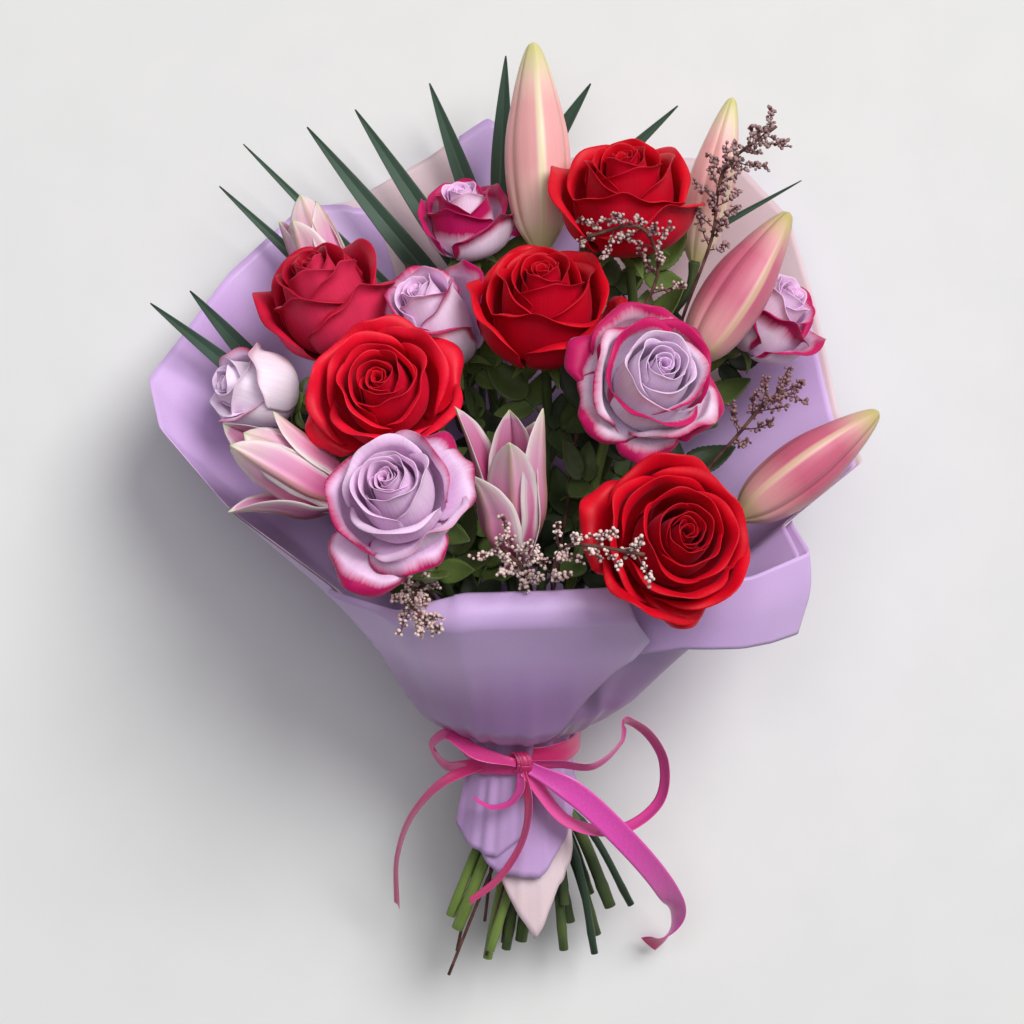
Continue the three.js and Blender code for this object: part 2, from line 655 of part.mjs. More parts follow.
// The curve through a chain's own points, in straight stretches.
class Chain extends THREE.Curve {
  constructor(points) {
    super();
    this.points = points;
  }
  getPoint(t) {
    const place = t * (this.points.length - 1);
    const i = Math.min(Math.floor(place), this.points.length - 2);
    return this.points[i].clone().lerp(this.points[i + 1], place - i);
  }
  getPointAt(t) {
    return this.getPoint(t);
  }
  getTangentAt(t) {
    return this.getTangent(t);
  }
}

const chainRod = (points, radius, sides) =>
  solidOf(rod(new Chain(points), radius, sides, points.length - 1));

function roseStem(stem) {
  const { rose, axis, chain: way } = stem;
  const foot = roseFoot(rose).addScaledVector(axis, -SEAT_GAP);
  const place = new THREE.Matrix4().compose(foot, facing(axis), new THREE.Vector3(1, 1, 1));
  return fuse([chainRod(way.points, stem.radius, 5), solidOf(calyx(rose).applyMatrix4(place))]);
}

// The green hip under a bloom, with five points that stand out from it and turn down.
function calyx(rose) {
  const reach = rose.across * 0.27;
  const hip = turned([[0, -11], [1.2, -11], [5, -4.5], [5.2, -2.4], [5, -1], [0, 0]], 10);
  const points = hip.getAttribute("position");
  for (let i = 0; i < points.count; i++) {
    const [x, y, z] = [points.getX(i), points.getY(i), points.getZ(i)];
    const tip = Math.cos(5 * Math.atan2(y, x)) > 0;
    if (z < -4 || z === 0 || !tip) continue;
    const out = reach / Math.hypot(x, y);
    points.setXYZ(i, x * out, y * out, z - 7);
  }
  return hip;
}

function lilyStem(stem) {
  const trunk = chainRod(stem.chain.points, stem.radius, 5);
  const fork = stem.chain.points[stem.chain.points.length - 1];
  const before = stem.chain.points[stem.chain.points.length - 2].clone().lerp(fork, 0.7);
  const arms = stem.arms.map((arm) => chainRod([before, fork, ...arm.points.slice(1)], arm.radius, 5));
  return fuse([trunk, ...arms]);
}

function frond(stem) {
  const rib = new THREE.CatmullRomCurve3(stem.rib.map(vector));
  const parts = [chainRod(stem.chain.points, stem.radius, 5)];
  for (const { at, tip } of stem.leaflets) parts.push(leaflet(rib.getPoint(at), tip, LEAFLET_WIDTH));
  return fuse(parts);
}

// A side shoot of a spray is clear where it keeps off every bloom and every other stem.
function isClear(root, end, radius, stem) {
  const others = allStems.filter((other) => other !== stem).map((other) => other.chain);
  return [...bloomChains, ...others, ...armChains].every((other) =>
    other.points.slice(1).every((d, j) => {
      const c = other.points[j];
      const [s, t] = nearest(root, end, c, d);
      return root.clone().lerp(end, s).distanceTo(c.clone().lerp(d, t)) > other.radius + radius + CLEARANCE;
    }),
  );
}

// A side shoot with small round flowers strung along it, on +Z.
function twig(length) {
  const profile = [[0, 0], [0.6, 0]];
  for (let n = 1; n <= FLORETS_PER_TWIG; n++) {
    const top = (n / FLORETS_PER_TWIG) * length;
    profile.push([0.6, top - 2 * FLORET_RADIUS], [FLORET_RADIUS, top - FLORET_RADIUS]);
  }
  return turned([...profile, [0, length]], 3);
}

function spray(stem) {
  const path = new THREE.CatmullRomCurve3(stem.chain.points.slice(-stem.path.length));
  const parts = [chainRod(stem.chain.points, stem.radius, 3)];
  for (let n = 0; n < stem.twigs; n++) {
    const root = path.getPoint(mix(0.3, 1, n / (stem.twigs - 1)));
    const ahead = path.getTangent(mix(0.3, 1, n / (stem.twigs - 1)));
    const length = TWIG_LENGTH * mix(0.7, 1.1, chance(n, stem.seed));
    for (let attempt = 0; attempt < TWIG_TRIES; attempt++) {
      const turn = (n + attempt / TWIG_TRIES) * GOLDEN_ANGLE * DEG;
      const out = new THREE.Vector3(Math.cos(turn), Math.sin(turn), 0.35 + 0.5 * chance(stem.seed, n));
      const way = out.addScaledVector(ahead, 0.8).normalize();
      if (!isClear(root, root.clone().addScaledVector(way, length), FLORET_RADIUS, stem)) continue;
      const place = new THREE.Matrix4().compose(root, facing(way), new THREE.Vector3(1, 1, 1));
      parts.push(solidOf(twig(length).applyMatrix4(place)));
      break;
    }
  }
  return fuse(parts);
}

// ---- Paper ----
// The rim of the opened wrap, anticlockwise as seen from the flowers: left front, left, back, right, front.
const RIM = [
  [-78, -35, 138], [-132, 3, 112], [-167, 41, 88], [-174, 65, 76], [-158, 89, 60], [-139, 119, 38],
  [-104, 154, 20], [-80, 155, 15], [-40, 176, 10], [-12, 195, 7], [4, 184, 7], [63, 176, 8],
  [110, 173, 12], [135, 144, 24], [146, 102, 40], [155, 48, 62], [165, 24, 78], [142, 7, 94],
  [127, -4, 106], [128, -20, 124], [106, -29, 138], [53, -34, 150], [25, -35, 152],
  [-15, -36, 154], [-49, -44, 146],
];
const TIE_RISE = (UPPER_RISE + LOWER_RISE) / 2;
const RING_UP = new THREE.Vector3(0, -Math.sin(TIE_RISE * DEG), Math.cos(TIE_RISE * DEG));
const TWINE_RADIUS = 1.1;
const TWINE_RING = bunchRadius + 0.2 + TWINE_RADIUS; // middle line of the twine inside the paper
const PAPER_NECK = TWINE_RING + TWINE_RADIUS + PAPER_THICK / 2 + 0.9;
const SKIRT_FLARE = [0.08, 0.2]; // how fast the paper widens below the collar, in front and at the sides
const COLLAR = 13; // length of the straight stretch of paper that the ribbon is tied round
const BACK_SAG = 36; // how far the back of the wrap sinks towards the table, where it lies flat
// How the swell and the sag of the wrap come and go from the collar to the rim, with a pair for each row
// of corners, so that sheets on top of each other stay clear between their corners.
const SWELL = [[0, 0], [0.2, 0.6], [0.5, 1], [0.8, 0.6], [1, 0]];
const SAG = [[0, 0], [0.2, 0.9], [0.5, 0.6], [0.8, 0.36], [1, 0]];

const radialAt = (angle) =>
  new THREE.Vector3().addScaledVector(ACROSS, Math.cos(angle)).addScaledVector(RING_UP, Math.sin(angle));

function rimPoint(place) {
  const i = Math.floor(place);
  const corner = (n) => vector(RIM[((n % RIM.length) + RIM.length) % RIM.length]);
  return corner(i).lerp(corner(i + 1), place - i);
}

// The direction of a rim point round the axis of the bunch.
function rimAngle(place) {
  const from = rimPoint(place).sub(TIE);
  return Math.atan2(from.dot(UPWARD), from.dot(ACROSS));
}

// Every sheet lies on this one form, a step further out for each sheet under it. place runs round the
// rim, and share from the collar under the ribbon, 0, to the rim, 1. Below the collar share is minus the
// distance in mm.
function wrapPoint(place, share, step, puff) {
  const out = radialAt(rimAngle(place));
  const neck = TIE.clone().addScaledVector(out, PAPER_NECK + step);
  if (share <= 0) {
    neck.addScaledVector(LOWER_AXIS, share - COLLAR / 2);
    return neck.addScaledVector(out, -mix(...SKIRT_FLARE, Math.cos(rimAngle(place)) ** 2) * share);
  }
  neck.addScaledVector(UPPER_AXIS, COLLAR / 2);
  const point = neck.lerp(rimPoint(place).addScaledVector(out, step), share);
  const side = Math.abs(Math.cos(rimAngle(place)));
  const swell = between(SWELL, share) * mix(9, -5, smooth(side));
  point.addScaledVector(out, swell + puff * share);
  point.z -= BACK_SAG * between(SAG, share) * smooth(-1.6 * Math.sin(rimAngle(place)));
  return point;
}

// from and to are places on the rim, and every whole place in between has a column of corners, so that
// sheets on top of each other have their corners in line. reach is how much of the way to the rim the
// sheet covers, and hem how far it hangs below the tie, both as [place, value] pairs. puff bulges it
// out, and a cuff is folded out and down from the rim.
const SHEETS = [
  {
    name: "paper_inner", from: 0, to: 23, perPlace: 1, layer: 0, floor: 1,
    reach: [
      [0, 0.97], [7, 0.98], [8, 0.84], [9, 0.98], [11, 0.96], [13, 0.8], [15, 0.9], [18, 0.97], [19, 0.9],
      [20, 0.55], [23, 0.5],
    ],
    hem: [[0, 30], [4, 20], [15, 18], [18, 26], [20, 56], [21, 66], [22, 86], [23, 50]],
  },
  {
    name: "paper_outer", from: 1, to: 19, perPlace: 1, layer: 1, floor: 0,
    reach: [[1, 0.9], [5, 0.96], [7, 0.99], [19, 1]],
    hem: [[1, 30], [5, 22], [15, 24], [19, 30]],
  },
  {
    name: "paper_right", from: 18, to: 23.5, perPlace: 2, layer: 2, floor: 0,
    reach: [[18, 1], [20.5, 1], [21, 0.95], [22, 0.86], [23.5, 0.83]],
    hem: [[18, 20], [19, 32], [20, 46], [21, 52], [22, 54], [23, 46], [23.5, 34]],
    cuff: { width: [[18, 22], [18.5, 31], [20.5, 30], [21, 3], [23.5, 3]], way: [-0.16, -0.92, -0.36] },
  },
  {
    name: "paper_front", from: 21, to: 25, perPlace: 2, layer: 3, floor: 0, puff: 5,
    reach: [[21, 1], [25, 1]],
    hem: [[21, 10], [23, 16], [25, 12]],
  },
];
// Rows of corners: the hem, the two ends of the collar, and on to the sheet's edge.
const SHEET_ROWS = [-1, 0, 0.001, 0.2, 0.5, 0.8, 1];
const CUFF_ROWS = [1.5, 2];

function paperSheet(sheet) {
  const surface = (place, row) => {
    const along = Math.min(row, 1);
    const most = between(sheet.reach, place) * mix(0.85, 1, along);
    const share = row < 0 ? row * between(sheet.hem, place) : Math.min(along, most);
    const point = wrapPoint(place, share, sheet.layer * SHEET_STEP, sheet.puff ?? 0);
    if (row <= 1) return point;
    const fold = row - 1;
    point.addScaledVector(vector(sheet.cuff.way), fold * between(sheet.cuff.width, place));
    return point.addScaledVector(radialAt(rimAngle(place)), 2.2 * Math.sin(Math.min(fold, 0.5) * Math.PI));
  };
  const places = steps((sheet.to - sheet.from) * sheet.perPlace, sheet.from, sheet.to);
  const rows = sheet.cuff ? [...SHEET_ROWS, ...CUFF_ROWS] : SHEET_ROWS;
  return solidOf(blade(surface, places, rows, PAPER_THICK, sheet.floor * SHEET_STEP));
}

// A ring round the tie: a closed profile of [radius, distance along the axis] pairs, turned and laid there.
function tieRing(profile, sides) {
  const closed = [...profile, profile[0]];
  const ring = new THREE.LatheGeometry(closed.map(([r, h]) => new THREE.Vector2(r, h)), sides);
  return solidOf(ring.rotateX((180 + TIE_RISE) * DEG).translate(TIE.x, TIE.y, TIE.z));
}

// ---- Ribbon ----
const RIBBON_WIDTH = 11;
const BAND_INNER = PAPER_NECK + 3 * SHEET_STEP + PAPER_THICK / 2 + 1.4;
// The loops and tails of the bow, from the knot outwards, each along its route. turn is the angle in
// degrees of the width from upright towards level.
const STRIPS = [
  {
    width: 8.5, turn: [50, 50, 35, 20, 30, 60, 60], // left loop
    route: [
      [2, -116, 92], [-16, -110, 95], [-32, -106, 88], [-38, -113, 78],
      [-32, -120, 74], [-16, -119, 84], [2, -118, 90],
    ],
  },
  {
    width: 8.5, turn: [40, 30, 25, 15, 20, 30, 30, 30, 30, 35, 50], // right loop
    route: [
      [6, -116, 92], [22, -117, 94], [38, -118, 93], [51, -107, 88], [53, -98, 84], [63, -103, 78],
      [72, -118, 71], [70, -137, 68], [52, -150, 72], [26, -145, 84], [6, -120, 90],
    ],
  },
  {
    width: 8.5, turn: [50, 30, 22, 22, 30], // left tail
    route: [[2, -119, 90], [-24, -127, 86], [-44, -142, 70], [-54, -166, 44], [-56, -192, 24]],
  },
  {
    width: 8.5, turn: [50, 30, 25, 30, 30], // middle tail
    route: [[5, -120, 91], [8, -136, 92], [5, -154, 88], [-6, -172, 82], [-20, -184, 75]],
  },
  {
    width: 10, turn: [75, 80, 85, 75, 50, 60], // right tail
    route: [[8, -119, 92], [30, -127, 94], [56, -150, 80], [76, -178, 48], [80, -193, 28], [70, -214, 15]],
  },
  {
    width: 8.5, turn: [50, 35, 35], // short end
    route: [[4, -120, 91], [1, -133, 92], [-17, -136, 88]],
  },
];

// A flat strip along a smooth route, its width turned between the listed angles.
function strip({ width, route, turn }) {
  const path = new THREE.CatmullRomCurve3(route.map(vector), false, "centripetal");
  const surface = (u, v) => {
    const tangent = path.getTangent(v);
    const level = new THREE.Vector3(-tangent.y, tangent.x, 0).normalize();
    const upright = tangent.clone().cross(level).normalize();
    const place = v * (turn.length - 1);
    const i = Math.min(Math.floor(place), turn.length - 2);
    const angle = mix(turn[i], turn[i + 1], place - i) * DEG;
    return path
      .getPoint(v)
      .addScaledVector(upright, (u * width * Math.cos(angle)) / 2)
      .addScaledVector(level, (u * width * Math.sin(angle)) / 2);
  };
  return solidOf(blade(surface, [-1, 1], steps(Math.ceil(1.6 * (route.length - 1))), RIBBON_THICK));
}

// The one ribbon: a band round the paper, a flattened knot on top of it, and the bow.
function bow() {
  const outer = BAND_INNER + RIBBON_THICK;
  const half = RIBBON_WIDTH / 2;
  const band = tieRing([[BAND_INNER, -half], [outer, -half], [outer, half], [BAND_INNER, half]], 20);
  const bead = turned([[0, -4], [5, -3.4], [8, 0], [5, 3.4], [0, 4]], 10);
  const top = TIE.clone().addScaledVector(RING_UP, outer + 3.4);
  const knot = solidOf(bead.rotateX(TIE_RISE * DEG).translate(top.x, top.y, top.z));
  return fuse([band, knot, ...STRIPS.map(strip)]);
}

// ---- Materials ----
const finish = (color, roughness) => new THREE.MeshStandardMaterial({ color, roughness, metalness: 0 });
const COLOURS = {
  red: finish(0xb00d1c, 0.55),
  lilac: finish(0xb58ac9, 0.6),
  lily: finish(0xe2a0ab, 0.5),
  stem: finish(0x3f5a2c, 0.6),
  palm: finish(0x22382a, 0.5),
  spray: finish(0x8d6b62, 0.8),
  paper: finish(0xb79ad8, 0.75),
  ribbon: finish(0xd8459a, 0.3),
  twine: finish(0x9a7b4f, 0.9),
};

// ---- The bouquet ----
const bouquet = new THREE.Group();
bouquet.name = "bouquet";

function add(name, solid, material, place) {
  const mesh = new THREE.Mesh(geometryOf(solid), material);
  mesh.name = name;
  if (place) {
    mesh.position.copy(place.position);
    mesh.quaternion.copy(place.turn);
  }
  bouquet.add(mesh);
}

for (const rose of ROSES) {
  const place = { position: roseFoot(rose), turn: facing(leaning(rose.lean, rose.towards)) };
  add(`rose_${rose.name}`, roseBloom(rose), rose.red ? COLOURS.red : COLOURS.lilac, place);
}
for (const stem of roseStems) add(`stem_${stem.rose.name}`, roseStem(stem), COLOURS.stem);

for (const bud of [...LILY_BUDS, ...OPEN_LILIES]) {
  const turn = facing(vector(bud.tip).sub(vector(bud.foot)).normalize());
  const shape = bud.spread ? openLily(bud) : lilyBud(bud);
  add(bud.name, shape, COLOURS.lily, { position: vector(bud.foot), turn });
}
for (const stem of lilyStems) add(stem.name, lilyStem(stem), COLOURS.stem);
for (const stem of frondStems) add(stem.name, frond(stem), COLOURS.palm);
for (const stem of sprayStems) add(stem.name, spray(stem), COLOURS.spray);
for (const sheet of SHEETS) add(sheet.name, paperSheet(sheet), COLOURS.paper);

const twine = steps(5, 0, 2 * Math.PI * (5 / 6)).map((a) => [
  TWINE_RING + TWINE_RADIUS * Math.cos(a),
  TWINE_RADIUS * Math.sin(a),
]);
add("binding_twine", tieRing(twine, 14), COLOURS.twine);
add("ribbon_bow", bow(), COLOURS.ribbon);

export default bouquet;
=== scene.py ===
"""Looks of the mixed flower bouquet: petals, leaves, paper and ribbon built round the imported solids.

Lengths are in millimetres until a piece is made, where they become metres.
"""

import math

import bpy
import numpy as np
from mathutils import Matrix, Vector


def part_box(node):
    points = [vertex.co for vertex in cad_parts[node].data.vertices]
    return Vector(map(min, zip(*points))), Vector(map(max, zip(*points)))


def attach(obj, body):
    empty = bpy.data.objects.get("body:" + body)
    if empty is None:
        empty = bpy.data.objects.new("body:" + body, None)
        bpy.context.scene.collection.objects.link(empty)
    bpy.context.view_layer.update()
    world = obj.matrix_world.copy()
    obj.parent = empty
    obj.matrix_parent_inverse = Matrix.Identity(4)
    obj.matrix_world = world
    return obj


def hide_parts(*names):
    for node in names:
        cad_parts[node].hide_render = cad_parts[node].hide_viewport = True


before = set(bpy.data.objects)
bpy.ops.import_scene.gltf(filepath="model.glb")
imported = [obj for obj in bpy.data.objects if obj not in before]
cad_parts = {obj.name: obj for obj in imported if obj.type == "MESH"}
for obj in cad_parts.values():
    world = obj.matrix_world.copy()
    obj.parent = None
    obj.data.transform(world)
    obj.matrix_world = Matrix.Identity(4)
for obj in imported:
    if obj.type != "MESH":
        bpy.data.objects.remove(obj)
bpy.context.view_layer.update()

# ---- Sizes, in millimetres and degrees, the same as in the source of the solids ----
MM = 0.001
TIE = np.array([4.0, -106.0, 60.0])
UPPER_RISE = 27
LOWER_RISE = 12
LOWER_SWING = 2
TIE_RISE = (UPPER_RISE + LOWER_RISE) / 2
COLLAR = 13
SKIRT_FLARE = (0.08, 0.2)
BACK_SAG = 36
SHEET_STEP = 2.4
SOLID_THICK = 0.8
RIBBON_WIDTH = 11
STEM_SIDES = 5
ROSE_STEM_RADIUS = 2.3
LILY_STEM_RADIUS = 2.9
LILY_ARM_RADIUS = 2.2
SPRAY_STEM_RADIUS = 1.1
SPRAY_STEM_SIDES = 3
FROND_STEM_RADIUS = 1.8

# ---- Thicknesses of what the solids show thicker than it is ----
PETAL_THICK = 0.45
LILY_PETAL_THICK = 1.3  # at the foot, in the middle
LEAF_THICK = 0.5
PAPER_THICK = 0.3
RIBBON_THICK = 0.25

GOLDEN_ANGLE = math.radians(137.5)
STEM_SEED = 7  # keeps a rose stem's random numbers apart from its bloom's

# ---- Depth of a petal's veins, in metres ----
VEIN_DEPTH = 0.0002

# ---- Coloured edge of a lilac petal: where it starts, as a share of the way out, and its softness ----
EDGE_START = 1.14
EDGE_SOFTNESS = 0.13

# ---- Photograph's view ----
CAMERA_HEIGHT = 1.5
LENS = 106.23
SENSOR = 36


def mix(a, b, t):
    return a + (b - a) * t


def smooth(t):
    t = np.clip(t, 0, 1)
    return t * t * (3 - 2 * t)


def between(pairs, at):
    return np.interp(at, [p[0] for p in pairs], [p[1] for p in pairs])


def bezier(a, b, c, d, t):
    s = 1 - t
    return a * s**3 + 3 * b * s * s * t + 3 * c * s * t * t + d * t**3


def unit(v):
    v = np.asarray(v, float)
    return v / np.maximum(np.linalg.norm(v, axis=-1, keepdims=True), 1e-9)


def leaning(lean, towards):
    """The direction that leans from straight up, in degrees, towards a compass angle from +X."""
    a, b = math.radians(lean), math.radians(towards)
    return np.array([math.sin(a) * math.cos(b), math.sin(a) * math.sin(b), math.cos(a)])


def placed(points, origin, axis, spin=0.0):
    """Points of a thing that stands on +Z, moved so that it stands at origin along axis."""
    turn = Vector((0, 0, 1)).rotation_difference(Vector(axis)).to_matrix()
    turn = np.array(turn @ Matrix.Rotation(spin, 3, "Z"))
    return points @ turn.T + np.asarray(origin, float)


def sideways(angle, axis):
    """The direction square to an axis, at an angle round it."""
    return placed(np.array([math.cos(angle), math.sin(angle), 0.0]), (0, 0, 0), axis)


def seeded(name, offset=0):
    """Random numbers of a piece's own, the same in every run."""
    return np.random.default_rng(sum(map(ord, name)) + offset)


def distances(path):
    """How far along a path each of its points lies."""
    return np.concatenate([[0], np.cumsum(np.linalg.norm(np.diff(path, axis=0), axis=1))])


def ring_faces(rows, sides):
    """Quads between rings of points, and triangles to the two end points that follow the rings."""
    at = np.arange(rows * sides).reshape(rows, sides)
    after = np.roll(at, -1, axis=1)
    quads = np.stack([at[:-1], after[:-1], after[1:], at[1:]], -1).reshape(-1, 4)
    start = [[rows * sides, after[0, j], at[0, j]] for j in range(sides)]
    end = [[rows * sides + 1, at[-1, j], after[-1, j]] for j in range(sides)]
    return quads, np.array(start + end)


def curve(points, count):
    """A smooth centripetal curve through the points, evenly spread over its spans."""
    p = np.asarray(points, float)
    ends = [2 * p[0] - p[1], 2 * p[-1] - p[-2]]
    p = np.vstack([ends[0], p, ends[1]])
    step = np.linalg.norm(np.diff(p, axis=0), axis=1) ** 0.5
    at = np.linspace(0, len(p) - 3, count)
    out = []
    for t in at:
        i = min(int(t), len(p) - 4)
        t -= i
        d0, d1, d2 = step[i], step[i + 1], step[i + 2]
        a, b, c, d = p[i : i + 4]
        t1 = ((b - a) / d0 - (c - a) / (d0 + d1) + (c - b) / d1) * d1
        t2 = ((c - b) / d1 - (d - b) / (d1 + d2) + (d - c) / d2) * d1
        c2 = -3 * b + 3 * c - 2 * t1 - t2
        c3 = 2 * b - 2 * c + t1 + t2
        out.append(b + t1 * t + c2 * t * t + c3 * t**3)
    return np.array(out)


# ---- Making pieces ----
class Shape:
    """Points, faces and named numbers on the points, gathered into one piece."""

    def __init__(self):
        self.points = []
        self.quads = []
        self.tris = []
        self.values = []
        self.count = 0

    def add(self, points, quads, tris=(), **values):
        points = np.asarray(points, float).reshape(-1, 3)
        self.points.append(points)
        self.quads.append(np.asarray(quads, int).reshape(-1, 4) + self.count)
        self.tris.append(np.asarray(tris, int).reshape(-1, 3) + self.count)
        self.values.append((len(points), values))
        self.count += len(points)

    def blade(self, grid, thick, **values):
        """A thin sheet with two faces and a rim, from a grid (rows, columns, 3) of its middle."""
        rows, cols = grid.shape[:2]
        normal = unit(np.cross(np.gradient(grid, axis=0), np.gradient(grid, axis=1)))
        half = normal * np.broadcast_to(np.asarray(thick) / 2, (rows, cols))[..., None]
        n = rows * cols
        at = np.arange(n).reshape(rows, cols)
        front = np.stack([at[:-1, :-1], at[1:, :-1], at[1:, 1:], at[:-1, 1:]], -1).reshape(-1, 4)
        border = np.concatenate([at[0, :-1], at[:-1, -1], at[-1, :0:-1], at[:0:-1, 0]])
        after = np.roll(border, -1)
        rim = np.stack([border, after, after + n, border + n], -1)
        both = {k: np.tile(np.broadcast_to(v, (rows, cols)).ravel(), 2) for k, v in values.items()}
        both["side"] = np.repeat([0.0, 1.0], n)
        points = np.concatenate([(grid + half).reshape(-1, 3), (grid - half).reshape(-1, 3)])
        self.add(points, np.concatenate([front, front[:, ::-1] + n, rim]), **both)

    def tube(self, path, radii, sides=12, **values):
        """A round rod along a path, closed at both ends."""
        path = np.asarray(path, float)
        n = len(path)
        tangent = unit(np.gradient(path, axis=0))
        normal = np.zeros_like(path)
        normal[0] = unit(np.cross(tangent[0], [0.31, 0.17, 0.93]))
        for i in range(1, n):
            normal[i] = unit(normal[i - 1] - tangent[i] * (normal[i - 1] @ tangent[i]))
        other = np.cross(tangent, normal)
        angle = np.arange(sides) * 2 * np.pi / sides
        ring = np.cos(angle)[:, None] * normal[:, None] + np.sin(angle)[:, None] * other[:, None]
        points = path[:, None] + ring * np.broadcast_to(radii, n)[:, None, None]
        along = np.repeat(np.linspace(0, 1, n), sides)
        every = {"along": np.append(along, [0, 1]), "across": np.append(np.tile(angle / np.pi, n), [0, 0])}
        for key, value in values.items():
            value = np.broadcast_to(np.asarray(value, float), n)
            every[key] = np.append(np.repeat(value, sides), value[[0, -1]])
        self.add(np.concatenate([points.reshape(-1, 3), path[[0, -1]]]), *ring_faces(n, sides), **every)

    def floret(self, centre, axis, radius, pale):
        """A small round flower, a little taller than wide and five lobed at its top, standing on axis."""
        sides, rings = 10, 5
        angle = np.arange(sides) * 2 * np.pi / sides
        polar = np.linspace(0.25, np.pi - 0.35, rings)
        lobe = 1 + 0.16 * np.cos(angle * 5)[None, :] * np.clip(np.cos(polar), 0, 1)[:, None]
        r = np.sin(polar)[:, None] * lobe * radius
        tall = 1.15 * radius
        z = np.broadcast_to((np.cos(polar) * tall)[:, None], r.shape)
        points = np.stack([r * np.cos(angle), r * np.sin(angle), z], -1).reshape(-1, 3)
        points = placed(np.concatenate([points, [[0, 0, 0.72 * tall], [0, 0, -tall]]]), centre, axis)
        quads, tris = ring_faces(rings, sides)
        along = np.append(np.repeat(np.linspace(1, 0, rings), sides), [1.0, 0.0])
        faces = quads[:, [0, 3, 2, 1]], tris[:, [0, 2, 1]]
        self.add(points, *faces, along=along, flower=1.0, tone=pale)

    def piece(self, name, material, slot, *nodes):
        """Makes the object, in place of the CAD nodes."""
        points = np.concatenate(self.points) * MM
        quads, tris = np.concatenate(self.quads), np.concatenate(self.tris)
        mesh = bpy.data.meshes.new(name)
        mesh.vertices.add(len(points))
        mesh.vertices.foreach_set("co", points.astype(np.float32).ravel())
        mesh.loops.add(quads.size + tris.size)
        mesh.loops.foreach_set("vertex_index", np.concatenate([quads.ravel(), tris.ravel()]))
        mesh.polygons.add(len(quads) + len(tris))
        starts = np.concatenate([np.arange(len(quads)) * 4, quads.size + np.arange(len(tris)) * 3])
        mesh.polygons.foreach_set("loop_start", starts)
        mesh.update(calc_edges=True)
        mesh.validate()
        mesh.polygons.foreach_set("use_smooth", np.ones(len(mesh.polygons), bool))
        for key in sorted({key for _, values in self.values for key in values}):
            numbers = [np.broadcast_to(values.get(key, 0.0), n) for n, values in self.values]
            layer = mesh.attributes.new(key, "FLOAT", "POINT")
            layer.data.foreach_set("value", np.concatenate(numbers).astype(np.float32))
        obj = bpy.data.objects.new(name, mesh)
        bpy.context.scene.collection.objects.link(obj)
        mesh.materials.append(material)
        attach(obj, "root")
        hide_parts(*nodes)


